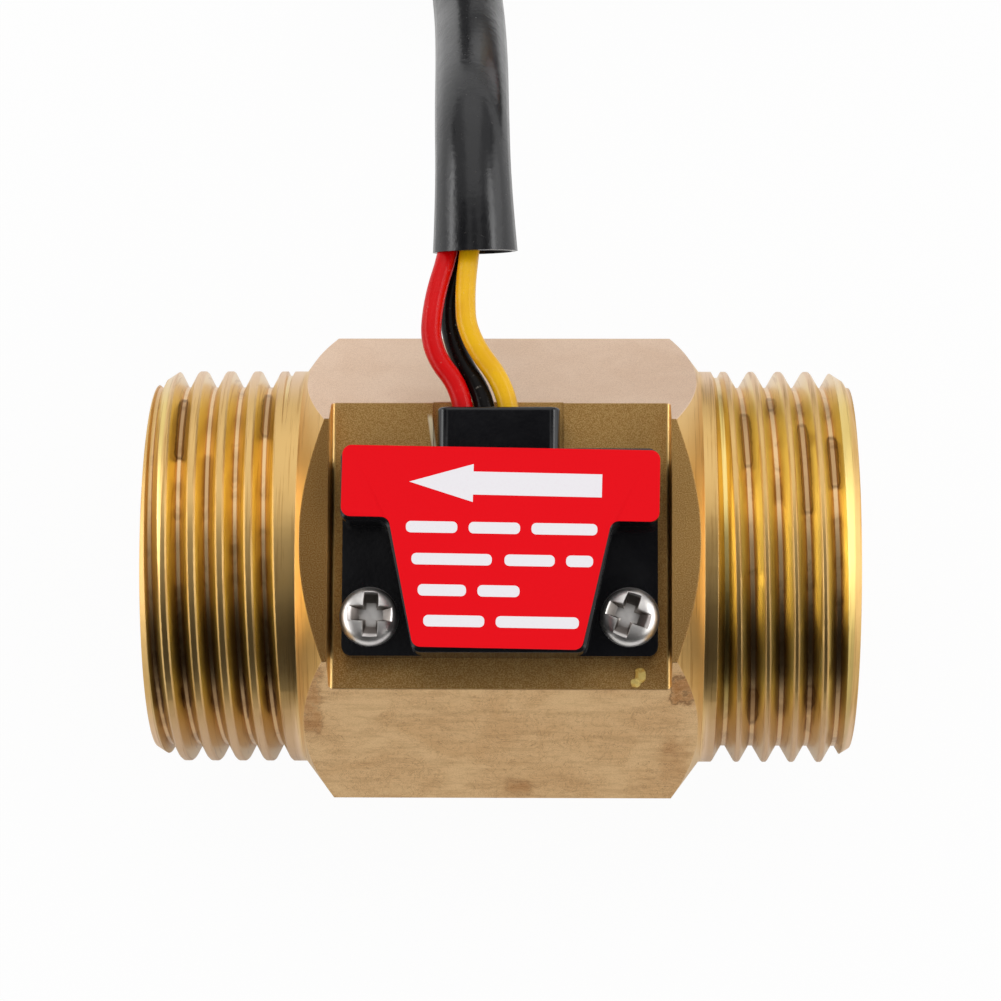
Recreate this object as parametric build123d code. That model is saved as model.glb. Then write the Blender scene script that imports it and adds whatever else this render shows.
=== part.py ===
from build123d import *
import os
from math import ceil, cos, radians, sin, sqrt, tan

# Water flow sensor: a hexagon brass turbine body with threaded ends, and a moulded sensor on its front flat.
# Lengths are in millimetres. Water flows along X, in at +X and out at -X, and +Z points up.
# The body lies on its back flat at Z = 0, with Y = 0 on the flow axis and X = 0 at the middle of its length.

# Brass body, outside
HEX_FLATS = 34.0
HEX_CORNER_CUT = 3.9
THREAD_END_LENGTH = 13.0
THREAD_DIAMETER = 33.0
THREAD_LEAD_IN = 1.8
THREAD_LEAD_IN_DEPTH = 1.15

# Brass body, inside
CHAMBER_BORE = 23.0
OUTLET_BORE = 20.0
MOUTH_CHAMFER = 0.5
RING_GROOVE_DEPTH = 0.8
RING_GROOVE_WIDTH = 1.3

# Seat milled across the front flat, and the relief under the housing's neck
SEAT_DEPTH = 3.3
SEAT_END_GAP = 1.1
SEAT_END_WALL = 2.3
SEAT_FILLET = 0.4
RELIEF_SIDE_GAP = 0.65
RELIEF_DEPTH = 0.8

# Turbine and the two guides that carry it
ROTOR_LENGTH = 13.0
ROTOR_TIP_CLEARANCE = 0.5
ROTOR_HUB_DIAMETER = 11.0
BLADE_COUNT = 6
BLADE_THICKNESS = 1.0
BLADE_TWIST = 55.0
SHAFT_DIAMETER = 2.0
SHAFT_RUNNING_GAP = 0.05
THRUST_GAP = 0.3
BUSH_DIAMETER = 4.0
BUSH_LENGTH = 3.3
BUSH_PROUD = 0.3
MAGNET_DIAMETER = 9.0
MAGNET_LENGTH = 5.0
MAGNET_BORE = 4.6
GUIDE_FIT_GAP = 0.05
GUIDE_RIM = 1.3
GUIDE_HUB_DIAMETER = 7.4
VANE_THICKNESS = 1.1
OUTLET_GUIDE_LENGTH = 6.6
OUTLET_VANE_COUNT = 4
INLET_GUIDE_LENGTH = 9.0
INLET_VANE_COUNT = 5
INLET_VANE_TWIST = 24.0
NOSE_LENGTH = 2.6
RETAINING_RING_THICKNESS = 1.2
RETAINING_RING_WIDTH = 1.9
RETAINING_RING_GAP = 46.0
RING_GROOVE_GAP = 0.1
RING_EYE_DIAMETER = 1.2
RING_LUG_DIAMETER = 3.0

# Moulded sensor housing
HOUSING_WIDTH = 25.4
HOUSING_DEPTH = 16.4
HOUSING_SHIFT = -1.0
HOUSING_CORNER = 0.8
HOUSING_WALL = 1.2
EAR_HEIGHT = 2.0
PLATFORM_HEIGHT = 5.0
PLATFORM_BAR_DEPTH = 5.9
EAR_WIDTH_TOP = 3.65
EAR_WIDTH_BOTTOM = 5.85
PLATFORM_EDGE = 0.25
NECK_WIDTH = 9.7
NECK_REACH = 3.5
NECK_HEIGHT = 4.2
NECK_ROUNDING = 0.9
CAVITY_SIDE_WALL = 1.25
WIRE_SLOT_GAP = 0.12

# Label on the platform
LABEL_THICKNESS = 0.15
LABEL_SIDE_MARGIN = 0.15
LABEL_TURN = -1.0
LABEL_CORNER = 0.75

# Circuit board with its two chips
BOARD_GAP = 0.4
BOARD_THICKNESS = 0.55
HALL_CHIP_SIZE = (2.9, 1.6, 0.9)
PULL_UP_SIZE = (2.0, 1.25, 0.5)

# Screws
SCREW_INSET = 2.2
SCREW_LINE = 3.0
SCREW_DIAMETER = 2.5
SCREW_HOLE_GAP = 0.15
SCREW_HEAD_DIAMETER = 4.8
SCREW_HEAD_HEIGHT = 1.6
SCREW_HEAD_RIM = 0.45
SCREW_BITE = 2.8
SCREW_TIP_GAP = 0.3
RECESS_SPAN = 3.3
RECESS_ARM = 0.95
RECESS_DEPTH = 1.1
LEFT_RECESS_TURN = -2.0
RIGHT_RECESS_TURN = -20.0

# Cable
WIRE_DIAMETER = 1.65
WIRE_PITCH = 1.82
WIRE_EXIT_SHIFT = -1.06
WIRE_HEIGHT = 2.5
WIRE_INNER_END = 3.0
SLEEVE_DIAMETER = 6.2
SLEEVE_WALL = 0.4
COIL_CENTRE = (20.0, 98.0)
COIL_MEAN_RADIUS = 34.0
TIE_WIDTH = 2.8
TIE_THICKNESS = 0.8
TIE_DIRECTION = 65.0
RADIUS_SHARE = 0.45

# Plug
PIN_PITCH = 2.5
PLUG_WIDTH = 9.8
PLUG_LENGTH = 11.5
PLUG_HEIGHT = 5.2
PLUG_CELL = 1.9
PLUG_RIB = 0.7
TERMINAL_GAP = 0.05
TERMINAL_WALL = 0.25
TERMINAL_LENGTH = 6.5
TERMINAL_SETBACK = 1.0
CRIMP_LENGTH = 2.6
PLUG_PLACE = (13.13, 87.2)
PLUG_TURN = -2.0

# Derived places
SEAT_LENGTH = HOUSING_WIDTH + 2 * SEAT_END_GAP
HEX_FLAT_LENGTH = SEAT_LENGTH + 2 * SEAT_END_WALL
HEX_CORNER_LENGTH = HEX_FLAT_LENGTH - HEX_CORNER_CUT
BODY_LENGTH = HEX_FLAT_LENGTH + 2 * THREAD_END_LENGTH
AXIS_Z = HEX_FLATS / 2
HEX_CORNERS = HEX_FLATS / sqrt(3) * 2
SEAT_Z = HEX_FLATS - SEAT_DEPTH
EAR_Z = SEAT_Z + EAR_HEIGHT
PLATFORM_Z = SEAT_Z + PLATFORM_HEIGHT
HOUSING_FRONT = HOUSING_SHIFT - HOUSING_DEPTH / 2
HOUSING_BACK = HOUSING_SHIFT + HOUSING_DEPTH / 2
NECK_END = HOUSING_BACK + NECK_REACH
PLATFORM_STEM_TOP = HOUSING_WIDTH - 2 * EAR_WIDTH_TOP
PLATFORM_STEM_BOTTOM = HOUSING_WIDTH - 2 * EAR_WIDTH_BOTTOM
CAVITY_WIDTH = PLATFORM_STEM_BOTTOM - 2 * CAVITY_SIDE_WALL
SCREW_SPACING = HOUSING_WIDTH - 2 * SCREW_INSET
SCREW_Y = HOUSING_FRONT + SCREW_LINE
ROTOR_DIAMETER = CHAMBER_BORE - 2 * ROTOR_TIP_CLEARANCE
GUIDE_DIAMETER = CHAMBER_BORE - 2 * GUIDE_FIT_GAP
OUTLET_GUIDE_FACE = -ROTOR_LENGTH / 2 - THRUST_GAP - BUSH_PROUD
INLET_GUIDE_FACE = ROTOR_LENGTH / 2 + THRUST_GAP + BUSH_PROUD
SHOULDER_X = OUTLET_GUIDE_FACE - OUTLET_GUIDE_LENGTH
RING_X = INLET_GUIDE_FACE + INLET_GUIDE_LENGTH
SHAFT_LENGTH = ROTOR_LENGTH + 2 * BUSH_LENGTH
WIRE_Z = SEAT_Z + WIRE_HEIGHT
WIRE_SIDES = {
    "red": WIRE_EXIT_SHIFT - WIRE_PITCH,
    "black": WIRE_EXIT_SHIFT,
    "yellow": WIRE_EXIT_SHIFT + WIRE_PITCH,
}
BOARD_TOP = WIRE_Z - WIRE_DIAMETER / 2
BOARD_Z = BOARD_TOP - BOARD_THICKNESS
CAVITY_DEPTH = HOUSING_DEPTH - 2 * HOUSING_WALL
CAVITY_HEIGHT = PLATFORM_HEIGHT - HOUSING_WALL
FLOOR_WIRE_Z = WIRE_DIAMETER / 2
CELL_Z = (PLUG_HEIGHT - PLUG_RIB) / 2

# Routes of the cable: points along each centre line, as it lies
WIRE_ROUTES = {
    "red": [
        (-3.0, WIRE_INNER_END, WIRE_Z),
        (WIRE_SIDES["red"], 6.4, WIRE_Z),
        (WIRE_SIDES["red"], 12.0, WIRE_Z),
        (-5.75, 15.6, 33.4),
        (-5.5, 19.8, 33.0),
        (-3.9, 24.5, 31.3),
        (-3.95, 31.2, 27.5),
        (-4.1, 35.4, 24.0),
    ],
    "black": [
        (-0.8, WIRE_INNER_END, WIRE_Z),
        (WIRE_SIDES["black"], 6.4, WIRE_Z),
        (WIRE_SIDES["black"], 11.5, WIRE_Z - 0.1),
        (-3.6, 15.4, 31.8),
        (-4.4, 19.4, 30.9),
        (-3.15, 23.9, 29.7),
        (-3.1, 30.4, 26.2),
        (-3.3, 34.2, 22.9),
    ],
    "yellow": [
        (1.4, WIRE_INNER_END, WIRE_Z),
        (WIRE_SIDES["yellow"], 6.4, WIRE_Z),
        (WIRE_SIDES["yellow"], 12.2, WIRE_Z),
        (-2.7, 16.6, 33.6),
        (-2.95, 20.4, 33.1),
        (-2.3, 24.9, 31.6),
        (-2.35, 31.4, 27.8),
        (-2.5, 35.6, 24.4),
    ],
}
SLEEVE_ROUTE = [
    (-2.15, 24.6, 30.9),
    (-2.3, 31.0, 27.2),
    (-2.7, 38.0, 21.2),
    (-3.0, 45.0, 14.0),
    (-3.4, 52.5, 7.6),
    (-4.6, 60.5, 3.8),
    (-7.4, 68.8, 3.1),
]
TAIL_ROUTES = {
    "yellow": [
        (30.9, 68.1, 3.6),
        (25.5, 65.6, 2.4),
        (18.7, 66.6, FLOOR_WIRE_Z),
        (13.3, 71.9, FLOOR_WIRE_Z),
        (10.5, 83.6, CELL_Z),
        (10.76, 91.0, CELL_Z),
    ],
    "black": [
        (30.6, 69.0, 2.1),
        (25.4, 67.1, 1.4),
        (19.5, 68.1, FLOOR_WIRE_Z),
        (14.9, 72.7, FLOOR_WIRE_Z),
        (13.0, 83.5, CELL_Z),
        (13.26, 90.9, CELL_Z),
    ],
    "red": [
        (30.3, 69.8, 3.6),
        (25.2, 68.6, 2.4),
        (20.3, 69.7, FLOOR_WIRE_Z),
        (16.5, 73.5, FLOOR_WIRE_Z),
        (15.5, 83.4, CELL_Z),
        (15.76, 90.8, CELL_Z),
    ],
}


def x_cylinder(diameter, start, length):
    """Cylinder along X from start, on the flow axis."""
    plane = Plane(origin=(start, 0, AXIS_Z), x_dir=(0, 1, 0), z_dir=(1, 0, 0))
    return extrude(plane * Circle(diameter / 2), amount=length)


def x_revolve(points):
    """Solid of revolution about the flow axis, from (x, radius) points."""
    profile = Polyline(*[(x, 0, AXIS_Z + radius) for x, radius in points], close=True)
    axis = Axis((0, 0, AXIS_Z), (1, 0, 0))
    return revolve(make_face(profile), axis=axis)


def block(low, high):
    """Box between two corners."""
    size = [b - a for a, b in zip(low, high)]
    middle = [(a + b) / 2 for a, b in zip(low, high)]
    return Pos(*middle) * Box(*size)


def corner_radii(route, share=RADIUS_SHARE):
    """Bend radius at each inner point of a route, as large as its two runs allow."""
    points = [Vector(*point) for point in route]
    radii = []
    for before, here, after in zip(points, points[1:], points[2:]):
        run_in = here - before
        run_out = after - here
        half_turn = radians(run_in.get_angle(run_out)) / 2
        radii.append(share * min(run_in.length, run_out.length) / tan(half_turn))
    return radii


def route_wire(route):
    """Smooth path of straight runs joined by tangent arcs."""
    return FilletPolyline(*route, radius=corner_radii(route))


def cord_tube(route, diameter, bore=0.0):
    """Round tube or hollow sleeve swept along a route."""
    path = route_wire(route)
    start = Plane(origin=path @ 0, z_dir=path % 0)
    section = Circle(diameter / 2)
    if bore:
        section -= Circle(bore / 2)
    return sweep(start * section, path=path)


def stub_profile(side):
    """Profile of one pipe end, with its lead-in chamfer, from the hexagon outwards."""
    end = side * BODY_LENGTH / 2
    radius = THREAD_DIAMETER / 2
    return [
        (0, 0),
        (0, radius),
        (end - side * THREAD_LEAD_IN, radius),
        (end, radius - THREAD_LEAD_IN_DEPTH),
        (end, 0),
    ]


def hexagon_bar():
    """Hexagon with its corners turned to a cone at both ends."""
    band = THREAD_DIAMETER / 2
    slope = (HEX_FLAT_LENGTH - HEX_CORNER_LENGTH) / (HEX_CORNERS - HEX_FLATS)
    end = HEX_FLAT_LENGTH / 2 + (HEX_FLATS / 2 - band) * slope
    corner = HEX_CORNERS / 2 + 1
    corner_end = HEX_CORNER_LENGTH / 2 - slope
    section = RegularPolygon(radius=HEX_FLATS / 2, side_count=6, major_radius=False)
    plane = Plane(origin=(-end, 0, AXIS_Z), x_dir=(0, 1, 0), z_dir=(1, 0, 0))
    bar = extrude(plane * section, amount=2 * end)
    cone = x_revolve([(-end, 0), (-end, band), (-corner_end, corner), (corner_end, corner), (end, band), (end, 0)])
    return bar & cone


def bore_profile():
    """Profile of everything that is bored out, from the outlet mouth to the inlet mouth."""
    end = BODY_LENGTH / 2
    chamber = CHAMBER_BORE / 2
    outlet = OUTLET_BORE / 2
    groove = chamber + RING_GROOVE_DEPTH
    return [
        (-end, 0),
        (-end, outlet + MOUTH_CHAMFER),
        (-end + MOUTH_CHAMFER, outlet),
        (SHOULDER_X, outlet),
        (SHOULDER_X, chamber),
        (RING_X, chamber),
        (RING_X, groove),
        (RING_X + RING_GROOVE_WIDTH, groove),
        (RING_X + RING_GROOVE_WIDTH, chamber),
        (end - MOUTH_CHAMFER, chamber),
        (end, chamber + MOUTH_CHAMFER),
        (end, 0),
    ]


def seat_cut():
    """Slot across the front flat, with a small radius along both ends of its floor."""
    half = SEAT_LENGTH / 2
    slot = block((-half, -HEX_CORNERS, SEAT_Z), (half, HEX_CORNERS, HEX_FLATS + 1))
    floor_edges = slot.edges().filter_by(Axis.Y).group_by(Axis.Z)[0]
    return fillet(floor_edges, SEAT_FILLET)


def brass_body():
    """Hexagon body with two pipe ends, its stepped bore, the seat and the screw holes."""
    body = hexagon_bar() + x_revolve(stub_profile(1)) + x_revolve(stub_profile(-1))
    body -= x_revolve(bore_profile())
    body -= seat_cut()
    relief = NECK_WIDTH / 2 + RELIEF_SIDE_GAP
    body -= block((-relief, HOUSING_BACK - HOUSING_WALL, SEAT_Z - RELIEF_DEPTH), (relief, HEX_CORNERS, SEAT_Z + 1))
    depth = SCREW_BITE + SCREW_TIP_GAP
    for x in (-SCREW_SPACING / 2, SCREW_SPACING / 2):
        body -= Pos(x, SCREW_Y, SEAT_Z - depth / 2) * Cylinder(SCREW_DIAMETER / 2, depth)
    return body


def twisted_vane(inner, outer, thickness, start, length, twist, turn):
    """One flat vane from inner to outer radius, twisted along the flow axis."""
    sections = []
    steps = max(1, ceil(abs(twist) / 12))
    for step in range(steps + 1):
        share = step / steps
        plane = Plane(origin=(start + share * length, 0, AXIS_Z), x_dir=(0, 1, 0), z_dir=(1, 0, 0))
        middle = (inner + outer) / 2
        section = Pos(middle, 0) * Rectangle(outer - inner, thickness)
        sections.append(plane * Rot(0, 0, turn + share * twist) * section)
    return loft(sections)


def turbine_rotor():
    """Moulded turbine: a hub with helical blades, bored for its shaft, with a pocket for the magnet."""
    start = -ROTOR_LENGTH / 2
    hub = ROTOR_HUB_DIAMETER / 2
    rotor = x_cylinder(ROTOR_HUB_DIAMETER, start, ROTOR_LENGTH)
    for index in range(BLADE_COUNT):
        rotor += twisted_vane(
            hub - BLADE_THICKNESS,
            ROTOR_DIAMETER / 2,
            BLADE_THICKNESS,
            start,
            ROTOR_LENGTH,
            BLADE_TWIST,
            index * 360 / BLADE_COUNT,
        )
    rotor &= x_cylinder(ROTOR_DIAMETER, start, ROTOR_LENGTH)
    rotor -= x_cylinder(SHAFT_DIAMETER, start, ROTOR_LENGTH)
    rotor -= x_cylinder(MAGNET_DIAMETER, start, MAGNET_LENGTH) - x_cylinder(MAGNET_BORE, start, MAGNET_LENGTH)
    return rotor


def rotor_magnet():
    """Ring magnet pressed into the rotor's hub from its outlet end."""
    start = -ROTOR_LENGTH / 2
    return x_cylinder(MAGNET_DIAMETER, start, MAGNET_LENGTH) - x_cylinder(MAGNET_BORE, start, MAGNET_LENGTH)


def rotor_shaft():
    """Steel pin through the rotor, running in both bushes."""
    return x_cylinder(SHAFT_DIAMETER, -SHAFT_LENGTH / 2, SHAFT_LENGTH)


def guide(face, side, length, vane_count, vane_twist):
    """Flow guide: an outer rim, vanes and a hub with a nose, with a pocket for its bush."""
    start = min(face, face + side * length)
    rim_inner = GUIDE_DIAMETER - 2 * GUIDE_RIM
    hub = GUIDE_HUB_DIAMETER / 2
    rim = x_cylinder(GUIDE_DIAMETER, start, length) - x_cylinder(rim_inner, start, length)
    shoulder = face + side * (length - NOSE_LENGTH)
    tip = face + side * length
    core = x_revolve([(face, 0), (face, hub), (shoulder, hub), (tip, hub * 0.45), (tip, 0)])
    body = rim + core
    for index in range(vane_count):
        turn = 90 + index * 360 / vane_count
        body += twisted_vane(
            hub - VANE_THICKNESS,
            GUIDE_DIAMETER / 2 - GUIDE_RIM / 2,
            VANE_THICKNESS,
            start,
            length - NOSE_LENGTH if side > 0 else length,
            vane_twist,
            turn,
        )
    pocket = BUSH_LENGTH - BUSH_PROUD
    return body - x_cylinder(BUSH_DIAMETER, min(face, face + side * pocket), pocket)


def outlet_guide():
    """Straight-vaned guide on the outlet side, seated on the body's shoulder."""
    return guide(OUTLET_GUIDE_FACE, -1, OUTLET_GUIDE_LENGTH, OUTLET_VANE_COUNT, 0)


def inlet_guide():
    """Swirl guide on the inlet side, held by the retaining ring."""
    return guide(INLET_GUIDE_FACE, 1, INLET_GUIDE_LENGTH, INLET_VANE_COUNT, INLET_VANE_TWIST)


def bush(face, side):
    """Bearing bush that stands a little proud of its guide as a thrust face."""
    start = min(face - side * BUSH_PROUD, face - side * BUSH_PROUD + side * BUSH_LENGTH)
    return x_cylinder(BUSH_DIAMETER, start, BUSH_LENGTH) - x_cylinder(
        SHAFT_DIAMETER + 2 * SHAFT_RUNNING_GAP, start, BUSH_LENGTH
    )


def retaining_ring():
    """Internal snap ring with two eyed lugs, seated in the bore's groove."""
    outer = CHAMBER_BORE / 2 + RING_GROOVE_DEPTH - RING_GROOVE_GAP
    inner = CHAMBER_BORE / 2 - RETAINING_RING_WIDTH + RING_GROOVE_DEPTH
    ring = x_cylinder(2 * outer, RING_X, RETAINING_RING_THICKNESS)
    ring -= x_cylinder(2 * inner, RING_X, RETAINING_RING_THICKNESS)
    half = RETAINING_RING_GAP / 2
    far = 2 * outer
    plane = Plane(origin=(RING_X, 0, AXIS_Z), x_dir=(0, 1, 0), z_dir=(1, 0, 0))
    wedge = Polyline((0, 0), (-far * sin(radians(half)), -far), (far * sin(radians(half)), -far), close=True)
    ring -= extrude(plane * make_face(wedge), amount=RETAINING_RING_THICKNESS)
    lug_radius = inner - RING_LUG_DIAMETER / 2 + RING_GROOVE_DEPTH
    for side in (-1, 1):
        angle = radians(-90 + side * (half + 6))
        place = Pos(lug_radius * cos(angle), lug_radius * sin(angle))
        ring += extrude(plane * place * Circle(RING_LUG_DIAMETER / 2), amount=RETAINING_RING_THICKNESS)
        ring -= extrude(plane * place * Circle(RING_EYE_DIAMETER / 2), amount=RETAINING_RING_THICKNESS)
    return ring


def t_outline(width, depth, bar, stem_top, stem_bottom, radius):
    """T-shaped outline with a tapering stem, centred on its own box, bar towards +Y."""
    top = depth / 2
    points = [
        (-width / 2, top),
        (-width / 2, top - bar),
        (-stem_top / 2, top - bar),
        (-stem_bottom / 2, -top),
        (stem_bottom / 2, -top),
        (stem_top / 2, top - bar),
        (width / 2, top - bar),
        (width / 2, top),
    ]
    face = make_face(Polyline(*points, close=True))
    return fillet(face.vertices(), radius)


def housing_neck():
    """Neck that the wires leave through, rounded along its sides and its end."""
    half = NECK_WIDTH / 2
    neck = block((-half, HOUSING_SHIFT, SEAT_Z), (half, NECK_END, SEAT_Z + NECK_HEIGHT))
    side_edges = neck.edges().filter_by(Axis.Y).group_by(Axis.Z)[-1]
    neck = fillet(side_edges, NECK_ROUNDING)
    end_edge = neck.faces().sort_by(Axis.Y)[-1].edges().group_by(Axis.Z)[-1]
    return fillet(end_edge, NECK_ROUNDING / 3)


def housing_cavity():
    """Pocket under the platform that takes the circuit board."""
    half = CAVITY_WIDTH / 2
    front = HOUSING_FRONT + HOUSING_WALL
    return block((-half, front, SEAT_Z), (half, front + CAVITY_DEPTH, SEAT_Z + CAVITY_HEIGHT))


def wire_slot():
    """Flat slot from the wires' inner ends through the neck, as wide as the three wires side by side."""
    height = WIRE_DIAMETER + 2 * WIRE_SLOT_GAP
    plane = Plane(origin=(WIRE_EXIT_SHIFT, WIRE_INNER_END, WIRE_Z), x_dir=(1, 0, 0), z_dir=(0, 1, 0))
    return extrude(plane * SlotCenterToCenter(2 * WIRE_PITCH, height), amount=NECK_END - WIRE_INNER_END)


def sensor_housing():
    """Moulded housing: a base with two screw ears, a raised T platform, a neck and the board's pocket."""
    base = Pos(0, HOUSING_SHIFT, SEAT_Z) * extrude(
        RectangleRounded(HOUSING_WIDTH, HOUSING_DEPTH, HOUSING_CORNER), amount=EAR_HEIGHT
    )
    outline = t_outline(
        HOUSING_WIDTH, HOUSING_DEPTH, PLATFORM_BAR_DEPTH, PLATFORM_STEM_TOP, PLATFORM_STEM_BOTTOM, HOUSING_CORNER
    )
    platform = Pos(0, HOUSING_SHIFT, SEAT_Z) * extrude(outline, amount=PLATFORM_HEIGHT)
    platform = chamfer(platform.faces().sort_by(Axis.Z)[-1].edges(), PLATFORM_EDGE)
    housing = base + platform + housing_neck()
    housing -= housing_cavity() + wire_slot()
    for x in (-SCREW_SPACING / 2, SCREW_SPACING / 2):
        hole = SCREW_DIAMETER / 2 + SCREW_HOLE_GAP
        housing -= Pos(x, SCREW_Y, SEAT_Z + EAR_HEIGHT / 2) * Cylinder(hole, EAR_HEIGHT)
    return housing


def label():
    """Thin label of the platform's own outline, stuck on slightly turned."""
    outline = t_outline(
        HOUSING_WIDTH,
        HOUSING_DEPTH - 2 * LABEL_SIDE_MARGIN,
        PLATFORM_BAR_DEPTH - LABEL_SIDE_MARGIN,
        PLATFORM_STEM_TOP - 2 * LABEL_SIDE_MARGIN,
        PLATFORM_STEM_BOTTOM - 2 * LABEL_SIDE_MARGIN,
        LABEL_CORNER,
    )
    return Pos(0, HOUSING_SHIFT + LABEL_SIDE_MARGIN, PLATFORM_Z) * Rot(0, 0, LABEL_TURN) * extrude(
        outline, amount=LABEL_THICKNESS
    )


def circuit_board():
    """Board that lies under the wires' inner ends."""
    half = CAVITY_WIDTH / 2 - BOARD_GAP
    front = HOUSING_FRONT + HOUSING_WALL + BOARD_GAP
    back = front + CAVITY_DEPTH - 2 * BOARD_GAP
    return block((-half, front, BOARD_Z), (half, back, BOARD_TOP))


def hall_chip():
    """Hall effect chip under the board's outlet end, over the turbine's magnet."""
    width, depth, height = HALL_CHIP_SIZE
    middle = -CAVITY_WIDTH / 2 + BOARD_GAP + width / 2
    return Pos(middle, 0, BOARD_Z - height / 2) * Box(width, depth, height)


def pull_up_chip():
    """Small resistor chip on the board."""
    width, depth, height = PULL_UP_SIZE
    return Pos(CAVITY_WIDTH / 4, HOUSING_SHIFT, BOARD_TOP + height / 2) * Box(width, depth, height)


def potting():
    """Sealing resin that fills the pocket round the board and the wires' ends."""
    resin = housing_cavity() - circuit_board() - hall_chip() - pull_up_chip()
    for name in WIRE_ROUTES:
        resin -= lead_wire(name)
    return resin


def pan_head_screw(x, recess_turn):
    """Pan head screw through one ear, with a cross recess."""
    radius = SCREW_HEAD_DIAMETER / 2
    shank = SCREW_DIAMETER / 2
    dome = Polyline(
        (0, 0), (radius, 0), (radius, SCREW_HEAD_RIM), (radius * 0.9, SCREW_HEAD_HEIGHT * 0.66),
        (radius * 0.6, SCREW_HEAD_HEIGHT * 0.92), (0, SCREW_HEAD_HEIGHT), close=True,
    )
    head = revolve(Plane.XZ * make_face(dome), axis=Axis.Z)
    length = EAR_HEIGHT + SCREW_BITE
    screw = head + Pos(0, 0, -length / 2) * Cylinder(shank, length)
    arm = Pos(0, 0, SCREW_HEAD_HEIGHT - RECESS_DEPTH / 2) * Box(RECESS_SPAN, RECESS_ARM, RECESS_DEPTH)
    recess = arm + Rot(0, 0, 90) * arm
    screw -= Rot(0, 0, recess_turn) * recess
    return Pos(x, SCREW_Y, EAR_Z) * screw


def lead_wire(name):
    """One insulated wire, from the board through the neck and into the sleeve's mouth."""
    return cord_tube(WIRE_ROUTES[name], WIRE_DIAMETER)


def cable_sleeve():
    """Hollow sleeve over the wires, from its open mouth down to the floor and on to the coil."""
    return cord_tube(SLEEVE_ROUTE, SLEEVE_DIAMETER, SLEEVE_DIAMETER - 2 * SLEEVE_WALL)


def cable_coil():
    """Outer shape of the sleeve's two turns, lying side by side on the floor."""
    section = RectangleRounded(2 * SLEEVE_DIAMETER, SLEEVE_DIAMETER, SLEEVE_DIAMETER / 2 - 0.01)
    ring = revolve(Plane.XZ * Pos(COIL_MEAN_RADIUS, SLEEVE_DIAMETER / 2) * section, axis=Axis.Z)
    return Pos(*COIL_CENTRE, 0) * ring - tie_loop()


def tie_loop():
    """Band round both turns of the coil."""
    width = 2 * SLEEVE_DIAMETER + 2 * TIE_THICKNESS
    height = SLEEVE_DIAMETER + TIE_THICKNESS
    section = RectangleRounded(width, height, height / 2 - 0.01)
    opening = RectangleRounded(width - 2 * TIE_THICKNESS, height - 2 * TIE_THICKNESS, height / 2 - TIE_THICKNESS - 0.01)
    band = extrude(Plane.XZ * Pos(0, height / 2) * (section - opening), amount=TIE_WIDTH / 2, both=True)
    return Pos(*COIL_CENTRE, 0) * Rot(0, 0, TIE_DIRECTION) * Pos(COIL_MEAN_RADIUS, 0, 0) * band


def plug_place():
    """Place of the plug on the floor inside the coil, with its wires coming in from -Y of its own frame."""
    return Pos(*PLUG_PLACE, 0) * Rot(0, 0, PLUG_TURN)


def plug_cells():
    """X place of each wire's cell in the plug's own frame."""
    return dict(zip(TAIL_ROUTES, (-PIN_PITCH, 0.0, PIN_PITCH)))


def plug_housing():
    """Three-way plug with open cells, two polarising ribs and a latch bump."""
    shell = block((-PLUG_WIDTH / 2, 0, 0), (PLUG_WIDTH / 2, PLUG_LENGTH, PLUG_HEIGHT - PLUG_RIB))
    for x in (-PLUG_WIDTH / 2 + 2 * PLUG_RIB, PLUG_WIDTH / 2 - 2 * PLUG_RIB):
        top = PLUG_HEIGHT - PLUG_RIB
        shell += block((x - PLUG_RIB / 2, 0, top), (x + PLUG_RIB / 2, PLUG_LENGTH * 0.8, PLUG_HEIGHT))
    half = PLUG_CELL / 2
    for x in plug_cells().values():
        shell -= block((x - half, 0, CELL_Z - half), (x + half, PLUG_LENGTH, CELL_Z + half))
    return plug_place() * shell


def plug_terminal(name):
    """Crimped contact in one cell: a folded box at its front and a barrel round the wire."""
    x = plug_cells()[name]
    half = PLUG_CELL / 2 - TERMINAL_GAP
    inner = half - TERMINAL_WALL
    start = PLUG_LENGTH - TERMINAL_LENGTH - TERMINAL_SETBACK
    end = start + TERMINAL_LENGTH
    tube = block((x - half, start, CELL_Z - half), (x + half, end, CELL_Z + half))
    tube -= block((x - inner, start, CELL_Z - inner), (x + inner, end, CELL_Z + inner))
    plane = Plane(origin=(x, start, CELL_Z), x_dir=(1, 0, 0), z_dir=(0, -1, 0))
    barrel = extrude(plane * (Circle(half) - Circle(WIRE_DIAMETER / 2)), amount=CRIMP_LENGTH)
    return plug_place() * (tube + barrel)


def tail_wire(name):
    """One tail wire, from the sleeve's end in the coil to its crimp in the plug."""
    return cord_tube(TAIL_ROUTES[name], WIRE_DIAMETER)


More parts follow.
